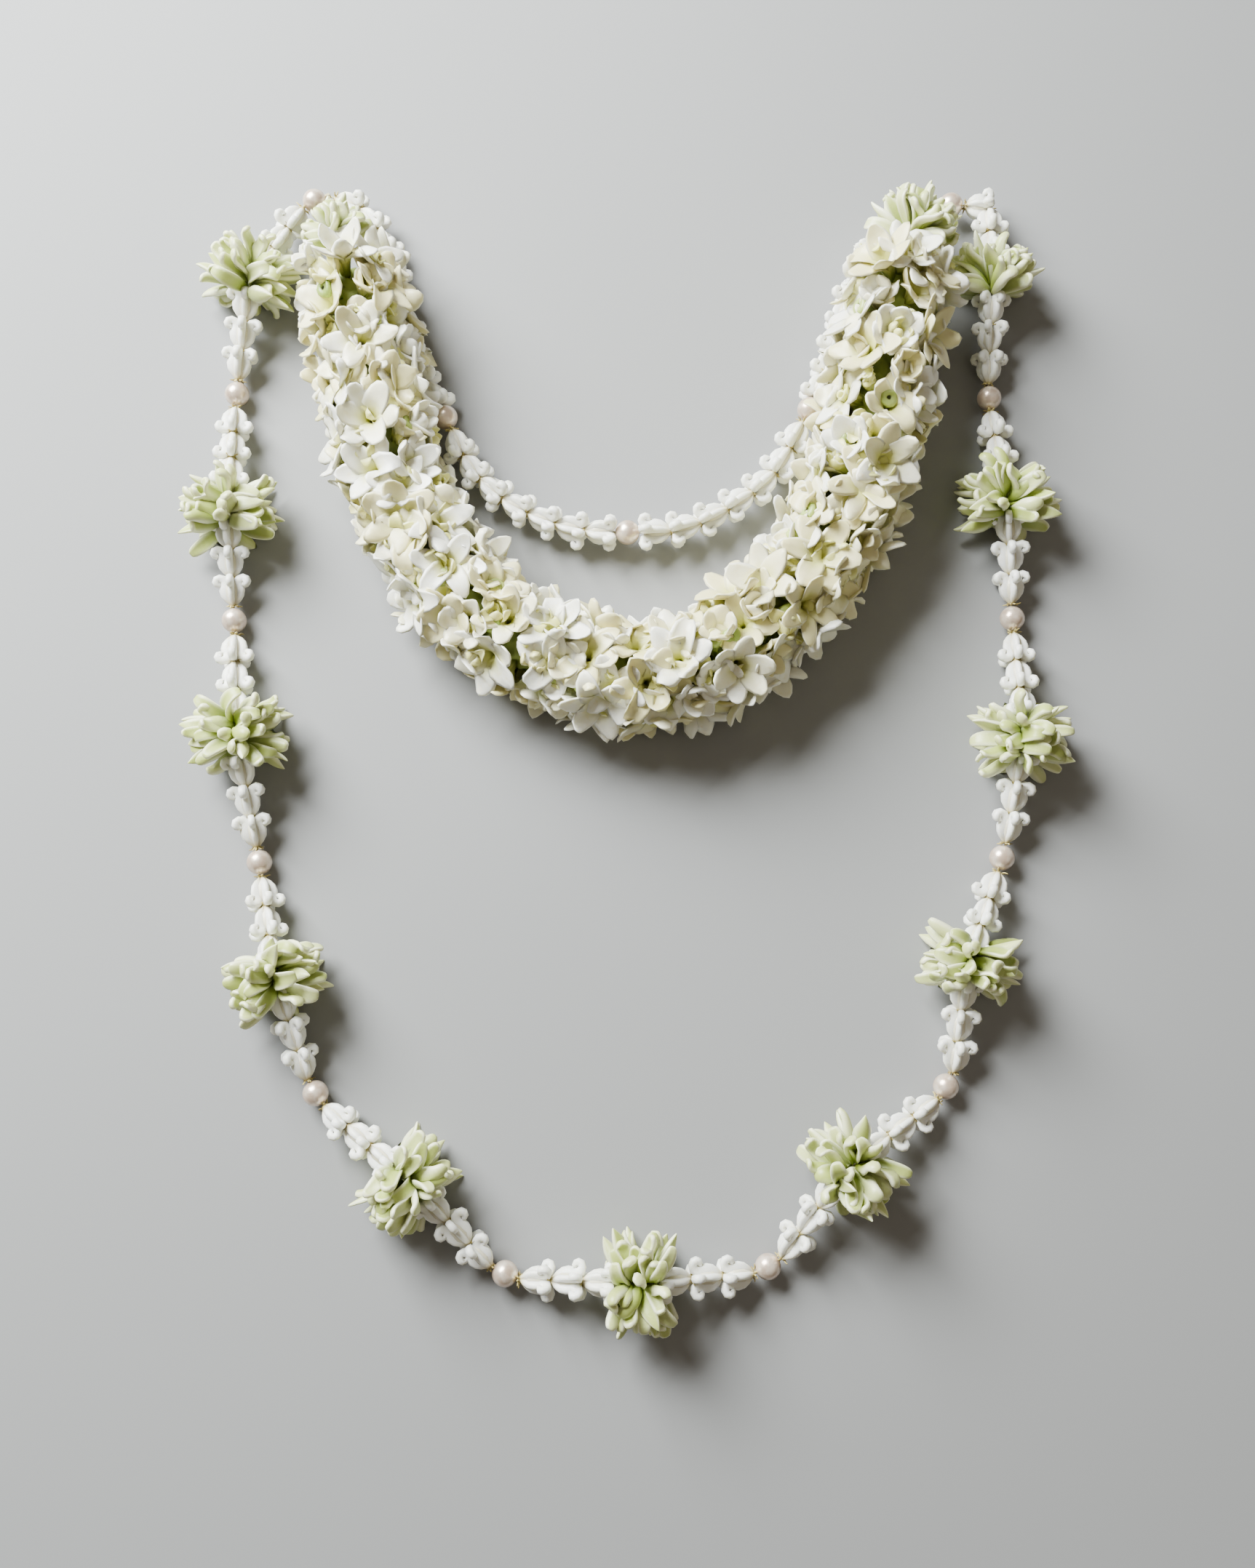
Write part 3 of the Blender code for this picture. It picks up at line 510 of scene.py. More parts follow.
def crown_spine():
    """A fin's spine, (outwards, along), its half depth and half width, from its neck to its rolled end.

    Up the body the spine is at half the outline's radius. The outline is a straight neck, then swells
    by a sine. The end is a spiral about CURL_CENTRE, whose radius shrinks until its middle is filled.
    """
    q = np.array([0.0, 0.03, 0.12, 0.3, 0.5, 0.7, 0.85, 1.0])
    rise = np.clip((q - NECK_SHARE) / (BELLY_SHARE - NECK_SHARE), 0, 1)
    outline = NECK_RADIUS + (BELLY_RADIUS - NECK_RADIUS) * np.sin(rise * math.pi / 2)
    outline -= (BELLY_RADIUS - SHOULDER_RADIUS) * np.clip((q - BELLY_SHARE) / (1 - BELLY_SHARE), 0, 1)
    body = np.stack([outline / 2, BODY_LENGTH * q], axis=-1)
    w = np.array([0.1, 0.24, 0.38, 0.52, 0.66, 0.8, 0.93, 1.0])
    angle = -math.pi / 2 + CURL_TURN * w
    radius = np.interp(w, CURL_SHARES, CURL_RADII)
    curl = np.stack([CURL_CENTRE[1] + radius * np.sin(angle),
                     CURL_CENTRE[0] + radius * np.cos(angle)], axis=-1)
    depth = np.concatenate([outline / 2, np.interp(w, CURL_SHARES, CURL_DEPTHS)])
    width = np.concatenate([np.interp(q, *BODY_WIDTHS), np.interp(w, *CURL_WIDTHS)])
    depth[[0, -1]] = 0
    width[[0, -1]] = 0
    return np.concatenate([body, curl]), depth, width


fin_spine, fin_depth, fin_width = crown_spine()
fin_along = np.linspace(0, 1, len(fin_spine))


def crown_flowers(name, legs, turn):
    """A run of crowns along legs of (path, start, end, count): their fins, hearts and neck scales."""
    joints = [path.at(np.linspace(start, end, count + 1)) for path, start, end, count in legs]
    starts = np.concatenate([leg[:-1] for leg in joints])
    ends = np.concatenate([leg[1:] for leg in joints])
    scale = np.linalg.norm(ends - starts, axis=1) / FLOWER_LENGTH
    axis = unit(ends - starts)
    side, up = square_to(axis)
    count = len(starts)
    # Each crown is turned a little about the thread, and each of its fins a little more
    angle = turn + jitter(CROWN_TURN, count)[:, None] + math.tau / FINS * np.arange(FINS)
    angle = angle + jitter(FIN_TURN, (count, FINS))
    bend = around(angle, up[:, None], side[:, None]).reshape(-1, 3)
    rise = np.repeat(axis, FINS, axis=0)
    root = np.repeat(starts, FINS, axis=0)
    fins = len(root)
    size = np.repeat(scale, FINS)[:, None]
    spread = uniform(*FIN_SPREADS, (fins, 1))
    spine = fin_spine[None] * np.stack([spread, size], axis=-1)
    width = fin_width * uniform(*FIN_WIDTHS, (fins, 1))
    depth = fin_depth * (0.5 + 0.5 * spread)
    grids = blades(root, rise, bend, spine, width, depth, 0 * depth, FIN_STEPS, FIN_POWER)
    grids[..., 2] = np.maximum(grids[..., 2], GAP)
    luck = np.repeat(uniform(0, 1, count), FINS) * 0.6 + 0.4 * uniform(0, 1, fins)
    crowns = skins(name, grids, blade_tints(fin_along, FIN_STEPS, luck), wax)
    return joined([crowns, hearts(name + "_hearts", starts, axis, side, up, scale),
                   neck_scales(name + "_scales", starts, axis, side, up)], name)


HEART_STEPS = 10
# The hearts' tint puts them wholly in the fins' painted crease shade
HEART_TINT = (0.3, 0.0, 0.2, 1.0)
heart_radius = np.array([0.0, 0.0012, 0.0017, 0.0038, 0.0036, 0.0026, 0.0])
heart_height = np.array([0.0, 0.0, 0.0016, 0.0052, 0.0096, 0.0120, 0.0128])


def hearts(name, places, axis, side, up, scale):
    """The fleshy hearts that the fins stand on: turned profiles, r (cos b up + sin b side) + h axis."""
    turn = np.linspace(0, math.tau, HEART_STEPS, endpoint=False)
    ring = around(turn, up[:, None], side[:, None])
    height = heart_height[:, None] * scale[:, None, None] * axis[:, None]
    grids = places[:, None, None] + heart_radius[:, None, None] * ring[:, None] + height[:, :, None]
    return skins(name, grids, HEART_TINT, wax)


SCALES = 9
SCALE_LENGTH = 0.0030
SCALE_HALF_WIDTH = 0.00065
SCALE_THICKNESS = 0.6
SCALE_FLATTENING = 0.6
SCALE_RING = 0.0016
SCALE_SETBACK = 0.0007
SCALE_TURN = 0.4
SCALE_LEANS = (0.1, 1.6)
SCALE_LENGTHS = (0.6, 1.15)
SCALE_STEPS = 4
scale_along = np.array([0.0, 0.15, 0.5, 0.85, 1.0])


def neck_scales(name, places, axis, side, up):
    """A frayed ring of dry scales round each neck, where the crown was cut from its flower.

    A scale's spine is length q (sin a, cos a, flattened), and its angle a grows with the share q.
    """
    count = len(places)
    angle = math.tau / SCALES * np.arange(SCALES) + jitter(SCALE_TURN, (count, SCALES))
    bend = around(angle, up[:, None], side[:, None]).reshape(-1, 3)
    rise = np.repeat(-axis, SCALES, axis=0)
    root = np.repeat(places, SCALES, axis=0) + SCALE_RING * bend - SCALE_SETBACK * rise
    total = len(root)
    lean = uniform(*SCALE_LEANS, (total, 1)) * scale_along
    reach = SCALE_LENGTH * uniform(*SCALE_LENGTHS, (total, 1)) * scale_along
    spine = np.stack([reach * np.sin(lean), reach * np.cos(lean) * SCALE_FLATTENING], axis=-1)
    width = SCALE_HALF_WIDTH * np.sqrt(np.abs(np.sin(scale_along * math.pi))) * np.ones((total, 1))
    width[:, [0, -1]] = 0
    grids = blades(root, rise, bend, spine, width, width * SCALE_THICKNESS, 0 * width, SCALE_STEPS)
    tints = blade_tints(scale_along, SCALE_STEPS, uniform(0, 1, total))
    return skins(name, grids, tints, dry)


def petal_wax(name, **constants):
    """A waxy, slightly translucent finish, and the four numbers stored on its petals."""
    finish = Finish(name, subsurface_weight=0.22, subsurface_radius=(0.9, 0.85, 0.45),
                    subsurface_scale=0.0022, coat_weight=0.3, coat_roughness=0.32, **constants)
    parts = {"Color": finish.stored("tint")}
    along, edge, luck = (finish.node("SeparateColor", {}, parts, output) for output in range(3))
    return finish, along, edge, luck, finish.stored("tint", 3)


wax, along, _, luck, face = petal_wax("crown_flower", roughness=0.42)
mottle = wax.noise(420, 3.0)
white = wax.mix(luck, colour(0.85, 0.84, 0.75), colour(0.90, 0.90, 0.85))
white = wax.mix(wax.span(mottle, 0.55, 0.85) * 0.5, white, colour(0.78, 0.72, 0.55))
# Painted shade: the inner halves of the fins' bodies, deep in the creases between the fins, are
# darkened towards tan
crease_shade = wax.span(face, 0.45, 0.9) * wax.span(0.5 - along, 0.0, 0.2) * 0.6
white = wax.mix(crease_shade, white, colour(0.60, 0.52, 0.30))
neck = wax.mix(wax.span(along, 0.07, 0.26), colour(0.46, 0.37, 0.12), white)
wax.connect(wax.shader, {"Base Color": neck, "Roughness": 0.36 + 0.2 * mottle})
wax.bump(mottle + wax.noise(2600), 0.00012, 0.6)

dry, _, _, luck, _ = petal_wax("dry_scale", roughness=0.7)
straw = dry.mix(luck, colour(0.22, 0.16, 0.04), colour(0.58, 0.48, 0.18))
dry.connect(dry.shader, {"Base Color": straw})

# Every run starts at a pearl. The last run of the outer strand turns a corner after its first crown.
runs = []
for before, head, after in zip(outer[::2], outer[1::2], outer[2::2]):
    for pearl_port, head_port in ((before.exit, head.entry), (after.entry, head.exit)):
        path = Path([pearl_port, head_port])
        leg = path, FLOWER_GAP, path.length - FLOWER_GAP, FLOWERS_IN_RUN
        runs.append((f"outer_{len(runs) + 1:02d}", [leg]))
across, down = Path([outer[-1].entry, corner]), Path([corner, outer[-2].exit])
runs[-1] = (runs[-1][0], [(across, FLOWER_GAP, across.length, 1),
                          (down, 0.0, down.length - FLOWER_GAP, FLOWERS_IN_RUN - 1)])
for name, start, count in (("left_upper", KNOT_SPACE, 9), ("left_lower", FLOWER_GAP, 7),
                           ("right_lower", FLOWER_GAP, 7), ("right_upper", KNOT_SPACE, 9)):
    path = inner_lines[name]
    runs.append((f"inner_{name}", [(path, start, path.length - FLOWER_GAP, count)]))
# In most runs a fin of each crown is on top, and in the others a groove
for name, legs in runs:
    piece = crown_flowers("crowns_" + name, legs, chance.choice((0.0, 0.0, math.pi / FINS)))
    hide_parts("flowers_" + name)

# The pompons. Heads of thick, channelled, greenish petals pulled from tuberose florets and threaded
# through their bases, so that they stand out all round the thread. Eleven are on the outer strand.
POMPON_PETALS = 62
POMPON_STEPS = 10
POMPON_POWER = 0.8
POMPON_ROOT = 0.0022
POMPON_LENGTH = 0.0222
POMPON_HALF_WIDTH = 0.0038
POMPON_HALF_DEPTH = 0.0016
POMPON_SPREAD = math.radians(28)
POMPON_SHIFT = 0.0100
POMPON_PLAY = 0.0015
PETAL_TURN = 0.2
PETAL_LEAN = 0.12
PETAL_BENDS = (-0.25, 0.3)
UPRIGHT_BENDS = (-0.1, 1.3)
ROUND_HOOKS = (0.1, 1.4)
POINTED_HOOKS = (-0.5, 0.5)
PETAL_LENGTHS = (0.82, 1.03)
PETAL_WIDTHS = (0.78, 1.15)
PETAL_DEPTHS = (0.8, 1.2)
CHANNEL_DEPTHS = (0.25, 0.85)
# Some heads are pushed along the thread, so that all their petals lean one way
HEAD_LEANS = {1: -0.2, 2: -0.12, 4: 0.1, 5: 0.2, 8: -0.15, 10: 0.15, 11: 0.65}
LEAN_SHIFT = -0.016
pompon_along = np.array([0.0, 0.03, 0.18, 0.34, 0.48, 0.6, 0.71, 0.81, 0.89, 0.95, 0.985, 1.0])


def arc_spine(theta, length, along):
    """The spine of a blade whose angle from its rise direction is theta: the sum of its short steps."""
    middle = (theta[:, 1:] + theta[:, :-1]) / 2
    step = np.diff(along) * length[:, None]
    out = np.cumsum(step * np.sin(middle), axis=1)
    up = np.cumsum(step * np.cos(middle), axis=1)
    spine = np.stack([out, up], axis=-1)
    return np.concatenate([np.zeros_like(spine[:, :1]), spine], axis=1)


def smooth_step(value, low, high):
    """0 below low, 1 above high, 3 t^2 - 2 t^3 between."""
    t = np.clip((value - low) / (high - low), 0, 1)
    return t * t * (3 - 2 * t)


def blade_outline(along, root, widest, point):
    """A blade's half width over its greatest: it widens from root to 1, then closes to its tip.

    The tip follows a quarter ellipse, drawn out to a point by the power given.
    """
    swell = root + (1 - root) * smooth_step(along, 0.0, widest)
    fall = np.clip((along - widest) / (1 - widest), 0, 1)
    return swell * np.sqrt(np.maximum(1 - fall ** 2, 0)) ** point


def pompon(name, bead, directions, start=0.0, size=1.0):
    """A head of channelled petals that start near the bead's centre and go the directions given.

    A petal bends sideways from the thread's line, and the more upright it stands, the further. The
    flatter it lies, the more it bends up or down instead, so that its face shows from above.
    """
    count = len(directions)
    side, up = square_to(bead.axis)
    upright = np.clip(directions @ up, 0, 1)
    # The way that each petal bends, square to its own direction
    way = np.where(directions @ side + chance.normal(0, 0.25, count) > 0, 1.0, -1.0)[:, None] * side
    way = way * (1 - np.abs(directions @ bead.axis))[:, None]
    way = way + chance.normal(0, 0.45, (count, 1)) * bead.axis + chance.normal(0, 0.1, (count, 3))
    way = way + chance.normal(0, 0.9, (count, 1)) * (1 - upright)[:, None] * UP
    bend = unit(way - np.sum(way * directions, axis=-1, keepdims=True) * directions)
    # How far it bends over as a whole, and how far its tip hooks on or back. Some tips are pointed.
    along = pompon_along
    pointed = uniform(0, 1, count) < 0.45 - 0.35 * upright
    hook = np.where(pointed, uniform(*POINTED_HOOKS, count),
                    uniform(*ROUND_HOOKS, count) + 0.5 * upright)
    hook *= np.where(uniform(0, 1, count) < 0.6, -1, 1)
    over = upright ** 2 * uniform(*UPRIGHT_BENDS, count) + uniform(*PETAL_BENDS, count)
    theta = (over[:, None] * smooth_step(along, 0.12, 0.75)
             + hook[:, None] * smooth_step(along, 0.68, 1.0))
    length = size * POMPON_LENGTH * uniform(*PETAL_LENGTHS, count) * np.where(pointed, 1.08, 1.0)
    spine = arc_spine(theta, length, along)
    point = np.where(pointed, 2.0, 0.6)[:, None]
    outline = blade_outline(along, 0.5, 0.5, point)
    width = POMPON_HALF_WIDTH * uniform(*PETAL_WIDTHS, (count, 1)) * outline
    depth = POMPON_HALF_DEPTH * np.sqrt(outline) * uniform(*PETAL_DEPTHS, (count, 1))
    # Most channels are on the face that turns up as a petal bends, and all are shallower at the tip
    facing = np.where(uniform(0, 1, (count, 1)) < 0.68, 1, -1)
    channel = facing * uniform(*CHANNEL_DEPTHS, (count, 1))
    cup = width * channel * (1 - 0.6 * smooth_step(along, 0.5, 1.0))
    shift = start + POMPON_SHIFT * (directions @ bead.axis) + jitter(POMPON_PLAY, count)
    root = bead.centre + POMPON_ROOT * directions + shift[:, None] * bead.axis
    grids = blades(root, directions, bend, spine, width, depth, cup, POMPON_STEPS, POMPON_POWER)
    grids[..., 2] = np.maximum(grids[..., 2], GAP)
    return skins(name, grids, blade_tints(along, POMPON_STEPS, uniform(0, 1, count)), green)


def spiral_angles(count):
    """Angles that fill a circle evenly, each a golden angle past the last, give or take a little."""
    return np.arange(count) * math.pi * (3 - math.sqrt(5)) + jitter(PETAL_TURN, count)


def outwards(bead, angle, lean):
    """Directions away from the thread at angles round it, each leaning along it by its own lean."""
    side, up = square_to(bead.axis)
    return unit(around(lean, around(angle, up, side), bead.axis))


def ring_directions(bead, count, spread):
    """Directions all round the bead's axis, leaning along it by up to spread either way."""
    angle = spiral_angles(count)
    lean = spread * (2 * (np.arange(count) + 0.5) / count - 1) + jitter(PETAL_LEAN, count)
    return outwards(bead, angle, lean)


green, along, edge, luck, face = petal_wax("pompon_petal", roughness=0.4)
streaks = green.noise(700)
# Both faces go darker towards the root, and the face that most channels are on is darker still: partly
# the petals' greener base, partly painted shade deep in the head and in the channels
inner_face_with_shade = green.mix(green.span(along, 0.1, 0.95), colour(0.20, 0.27, 0.02), colour(0.50, 0.56, 0.17))
outer_face_with_shade = green.mix(green.span(along, 0.15, 0.8), colour(0.34, 0.41, 0.05), colour(0.70, 0.73, 0.34))
blade = green.mix(green.span(face, 0.35, 0.75), outer_face_with_shade, inner_face_with_shade)
pale_petal = green.span(luck + 0.3 * streaks, 0.5, 1.2) * 0.5
blade = green.mix(pale_petal, blade, colour(0.84, 0.83, 0.55))
midrib = (1.0 - green.span(edge, 0.3, 0.6)) * 0.3
blade = green.mix(midrib, blade, colour(0.36, 0.44, 0.06))
rimmed = green.span(edge, 0.35, 1.15) * green.span(along, 0.15, 0.6) * 0.6
blade = green.mix(rimmed, blade, colour(0.92, 0.92, 0.76))
green.connect(green.shader, {"Base Color": blade, "Roughness": 0.34 + 0.18 * streaks})
green.bump(streaks + green.noise(2200), 0.00012, 0.5)

for number, bead in enumerate(outer[1::2], 1):
    lean = HEAD_LEANS.get(number, 0.0)
    ways = unit(ring_directions(bead, POMPON_PETALS, POMPON_SPREAD) + lean * bead.axis)
    piece = pompon(f"petal_head_{number:02d}", bead, ways, LEAN_SHIFT * lean)
    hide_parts(f"pompon_outer_{number:02d}")

# The rope's end pompons. Two more heads of the same petals are threaded beside the knots. The rope's
# florets press on one side of them, so that their petals fan out over the inner strand.
END_LOWEST = -0.25
END_BACKWARDS = 0.1
END_TRIES = 3
# For each: its name, its petals, how far they are shifted along the thread, and their size
END_FANS = (("left", 26, -0.0195, 0.72), ("right", 44, -0.009, 1.0))


def fan_directions(bead, count):
    """Directions over the half ball beyond the rope's end, none of them steeply down."""
    tries = END_TRIES * count
    angle = spiral_angles(tries)
    sine = (np.arange(tries) + 0.5) / tries * (1 + END_BACKWARDS) - END_BACKWARDS
    ways = outwards(bead, angle, np.arcsin(sine))
    ways = ways[ways[:, 2] > END_LOWEST]
    return ways[np.linspace(0, len(ways) - 1, count).astype(int)]


for bead, (name, count, start, size) in zip(end_pompons, END_FANS):
    piece = pompon("petal_fan_" + name, bead, fan_directions(bead, count), start, size)
    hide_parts("pompon_rope_" + name)

# The tuberose rope. Whole florets threaded through their sides, close together, so that they point
# outwards all round the thread. Each has a greenish tube and six broad, waxy, rounded tepals.
ROPE_PIECES = 5
WHORLS = 26
FLORETS = 6
# For each layer: its shift between the whorls, its florets' size, and what their ripeness lacks
ROPE_LAYERS = ((0.0, 1.14, 0.0), (0.5, 0.97, 0.45), (0.25, 0.8, 0.85))
END_ROOMS = (0.0190, 0.0135)
END_WHORLS = 2
END_LEAN = 0.4
END_FLATTENING = 0.6
# A floret less ripe than these is half open, young or a bud, and opens by an angle from its range
HALF_OPEN = 0.15
YOUNG = 0.0
BUD = -0.4
OPEN_ANGLES = (0.85, 1.4)
HALF_OPEN_ANGLES = (0.4, 0.8)
BUD_ANGLES = (-0.15, 0.12)
TEPALS = 6
TEPAL_STEPS = 8
TUBE_FOOT = 0.0065
TEPAL_LENGTH = 0.0250
TEPAL_HALF_WIDTH = 0.0055
TEPAL_HALF_DEPTH = 0.00095
TEPAL_ROOT = 0.00108
TEPAL_CURLS = (-0.75, 0.45)
ROLLED_CURLS = (0.9, 1.9)
ROLLED_SHARE = 0.14
FLOOR_SPREAD = 0.0006
STRAND_CLEARANCE = 0.0098
STRAND_SPACING = 0.002
BATCH = 4000
tepal_along = np.array([0.0, 0.02, 0.2, 0.32, 0.44, 0.56, 0.7, 0.84, 0.95, 1.0])
strand_points = np.concatenate([
    path.at(np.linspace(0, path.length, int(path.length / STRAND_SPACING)))
    for _, legs in runs for path, *_ in legs])
rope_outwards = [unit(rope.at(-TANGENT_REACH) - rope_ends[0]),
                 unit(rope.at(rope.length + TANGENT_REACH) - rope_ends[1])]


def turned_about(vectors, axis, angle):
    """Vectors turned about unit axes: v cos a + (k x v) sin a + k (k . v)(1 - cos a)."""
    cos, sin = np.cos(angle)[:, None], np.sin(angle)[:, None]
    inner_product = np.sum(vectors * axis, axis=-1, keepdims=True)
    return vectors * cos + np.cross(axis, vectors) * sin + axis * inner_product * (1 - cos)


def clear_of(points, blockers, radius):
    """Moves points that are nearer than radius to a blocker straight out to it, a batch at a time."""
    flat = points.reshape(-1, 3)
    near = np.flatnonzero(flat[:, 2] < STRAND_HEIGHT + radius)
    for start in range(0, len(near), BATCH):
        chosen = near[start:start + BATCH]
        away = flat[chosen, None] - blockers[None]
        distance = np.linalg.norm(away, axis=-1)
        index = distance.argmin(axis=1)
        rows = np.arange(len(chosen))
        close = distance[rows, index]
        push = np.maximum(radius - close, 0) / np.maximum(close, 1e-6)
        flat[chosen] += away[rows, index] * push[:, None]
    return flat.reshape(points.shape)


def whorl_place(whorl):
    """The distance along the rope of a whorl, between the rooms that are left for the end pompons."""
    return END_ROOMS[0] + whorl / WHORLS * (rope.length - sum(END_ROOMS))


def floret_frames(first, last, shift):
    """For the whorls from first to last: each floret's foot, its own direction, and one square to it.

    The rope's end whorls lean outwards along it, over the end pompons.
    """
    whorl = np.repeat(np.arange(first, last), FLORETS)
    index = np.tile(np.arange(FLORETS), last - first)
    count = len(whorl)
    middle = whorl + 0.25 + shift + jitter(0.2, count)
    centre, tangent, side, up = rope.frame(whorl_place(middle))
    turn = index + 0.5 * (whorl % 2) + shift + jitter(0.14, count)
    out = around(math.tau * turn / FLORETS, up, side)
    at_end = np.clip(middle - WHORLS + END_WHORLS, 0, 1) - np.clip(END_WHORLS - middle, 0, 1)
    lean_along = jitter(0.25, count) + END_LEAN * at_end
    lean_across = jitter(0.18, count)
    axis = unit(out + lean_along[:, None] * tangent + lean_across[:, None] * np.cross(out, tangent))
    first_way = turned_about(unit(np.cross(axis, tangent)), axis, uniform(0, math.tau, count))
    return centre + TUBE_FOOT * out, axis, first_way


def tuberose(name, first, last, layer):
    """The florets of some whorls: six tepals each, from the tube's foot to a rounded tip.

    A tepal's angle from the floret's axis is slight along the tube, and grows by a quick flare at the
    throat and a curl at the tip. The less ripe a floret, the less it opens: from half open, through
    young, with narrow rolled tepals, to a closed bud. The later layers have smaller, less ripe ones.
    """
    shift, size, unripeness = layer
    foot, axis, first_way = floret_frames(first, last, shift)
    count = len(foot)
    opening = uniform(*OPEN_ANGLES, count)
    ripeness = uniform(0, 1, count) - unripeness
    opening = np.where(ripeness < HALF_OPEN, uniform(*HALF_OPEN_ANGLES, count), opening)
    opening = np.where(ripeness < BUD, uniform(*BUD_ANGLES, count), opening)
    young = np.repeat(ripeness < YOUNG, TEPALS)
    bud = np.repeat(ripeness < BUD, TEPALS)
    spin = math.tau / TEPALS * np.arange(TEPALS) + jitter(0.09, (count, TEPALS))
    bend = np.stack([turned_about(first_way, axis, spin[:, k]) for k in range(TEPALS)], axis=1)
    bend = bend.reshape(-1, 3)
    rise = np.repeat(axis, TEPALS, axis=0)
    root = np.repeat(foot, TEPALS, axis=0) + TEPAL_ROOT * bend
    tepals = len(root)
    # Every other tepal opens a little less. Some are rolled, and a bud's tips close in.
    along = tepal_along
    inner_whorl = np.tile(np.arange(TEPALS) % 2, count)
    open_angle = np.repeat(opening, TEPALS) + jitter(0.18, tepals) - 0.14 * inner_whorl
    curl = uniform(*TEPAL_CURLS, tepals)
    rolled = (uniform(0, 1, tepals) < ROLLED_SHARE) | young
    roll = chance.choice((-1.0, 1.0), tepals) * uniform(*ROLLED_CURLS, tepals)
    curl = np.where(rolled, roll, curl)
    theta = (0.08 + open_angle[:, None] * smooth_step(along, 0.26, 0.54)
             + curl[:, None] * smooth_step(along, 0.62, 1.0)
             - bud[:, None] * 0.35 * smooth_step(along, 0.5, 1.0))
    length = uniform(0.92, 1.06, count) * np.where(opening < 0.9, 0.84, 1.0)
    length = size * TEPAL_LENGTH * np.repeat(length, TEPALS)
    spine = arc_spine(theta, length, along)
    broad = np.repeat(uniform(0.86, 1.1, count), TEPALS) * uniform(0.9, 1.1, tepals)
    broad = broad * np.where(bud, 0.62, np.where(young, 0.72, 1.0))
    outline = blade_outline(along, 0.28, 0.66, uniform(0.9, 1.7, (tepals, 1)))
    width = TEPAL_HALF_WIDTH * broad[:, None] * outline
    depth = TEPAL_HALF_DEPTH * np.sqrt(outline) * uniform(0.85, 1.3, (tepals, 1))
    # Across, a tepal is dished, and towards its tip more or less turned back
    turned_back = uniform(0.1, 1.0, (tepals, 1)) * smooth_step(along, 0.5, 0.95)
    dish = uniform(0.2, 0.6, (tepals, 1)) - 0.9 * turned_back
    dish = np.where(rolled[:, None], dish + 0.35, dish)
    dish = np.where(bud[:, None], 0.5, dish)
    grids = blades(root, rise, bend, spine, width, depth, dish * width, TEPAL_STEPS)
    grids = clear_of(grids, strand_points, STRAND_CLEARANCE)
    # What reaches past the rope's ends is pressed back, and what lies on the floor lies unevenly
    for end, outward in zip(rope_ends, rope_outwards):
        beyond = np.maximum((grids - end) @ outward, 0)
        grids = grids - END_FLATTENING * beyond[..., None] * outward
    grids[..., 2] = np.maximum(grids[..., 2], GAP + FLOOR_SPREAD * uniform(0, 1, (tepals, 1, 1)))
    # Its warmth goes from white at 0 to cream at 1, and above that to the green of the unripe
    warmth = np.clip(np.repeat(uniform(0, 1, count), TEPALS) + jitter(0.2, tepals), 0, 1)
    warmth = np.where(bud, 1.5, np.where(young, 1.15 + 0.2 * warmth, warmth))
    return skins(name, grids, blade_tints(along, TEPAL_STEPS, warmth), ivory)


# Here and there a floret has dropped; its green tube shows as a round nub with painted shade in its
# hollow
NUBS_IN_PIECE = 6
NUB_STEPS = 12
NUB_REACH = 1.3
NUB_LOBES = 0.07
nub_radius = np.array([0, 0.0024, 0.0032, 0.0040, 0.0043, 0.0034, 0.0012, 0.0008, 0])
nub_height = np.array([0.0, 0.0, 0.007, 0.0120, 0.0137, 0.0146, 0.0146, 0.0136, 0.0130])


def nubs(name, first, last):
    """Turned profiles along the rope's upper side: (r cos b, r sin b, h), with r (1 + lobe cos 3 b)."""
    centre, _, side, up = rope.frame(whorl_place(uniform(first, last, NUBS_IN_PIECE)))
    out = around(jitter(NUB_REACH, NUBS_IN_PIECE), up, side)
    across = unit(np.cross(out, [0.0, 1.0, 0.0]))
    turn = np.linspace(0, math.tau, NUB_STEPS, endpoint=False)
    ring = around(turn, across[:, None], np.cross(out, across)[:, None])
    radius = nub_radius[:, None] * (1 + NUB_LOBES * np.cos(3 * turn))
    height = nub_height[:, None] * out[:, None]
    foot = centre + TUBE_FOOT * out
    grids = foot[:, None, None] + ring[:, None] * radius[None, :, :, None] + height[:, :, None]
    tints = np.ones((*grids.shape[:3], 4))
    tints[..., 0] = np.linspace(0, 1, len(nub_radius))[None, :, None]
    tints[..., 2] = uniform(0, 1, (NUBS_IN_PIECE, 1, 1))
    return skins(name, grids, tints, stub)


CORE_RADIUS = 0.0125
CORE_ROUNDING = 0.016
CORE_RINGS = 8
CORE_STEPS = 24


def rope_core(name, first, last):
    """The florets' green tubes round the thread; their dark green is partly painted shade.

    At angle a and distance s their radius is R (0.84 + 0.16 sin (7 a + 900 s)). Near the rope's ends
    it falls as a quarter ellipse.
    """
    distance = whorl_place(np.linspace(first, last, CORE_RINGS * (last - first)))
    centre, _, side, up = rope.frame(distance)
    angle = np.linspace(0, math.tau, CORE_STEPS, endpoint=False)
    inwards = np.minimum(distance - END_ROOMS[0], rope.length - END_ROOMS[1] - distance)
    inwards = np.clip(inwards / CORE_ROUNDING, 0, 1)
    radius = CORE_RADIUS * (0.84 + 0.16 * np.sin(7 * angle + distance[:, None] * 900))
    radius *= np.sqrt(1 - (1 - inwards[:, None]) ** 2)
    radius[[0, -1]] = 0
    grids = centre[:, None] + radius[..., None] * around(angle, up[:, None], side[:, None])
    return skins(name, grids[None], (0, 0, 0, 1), shade)


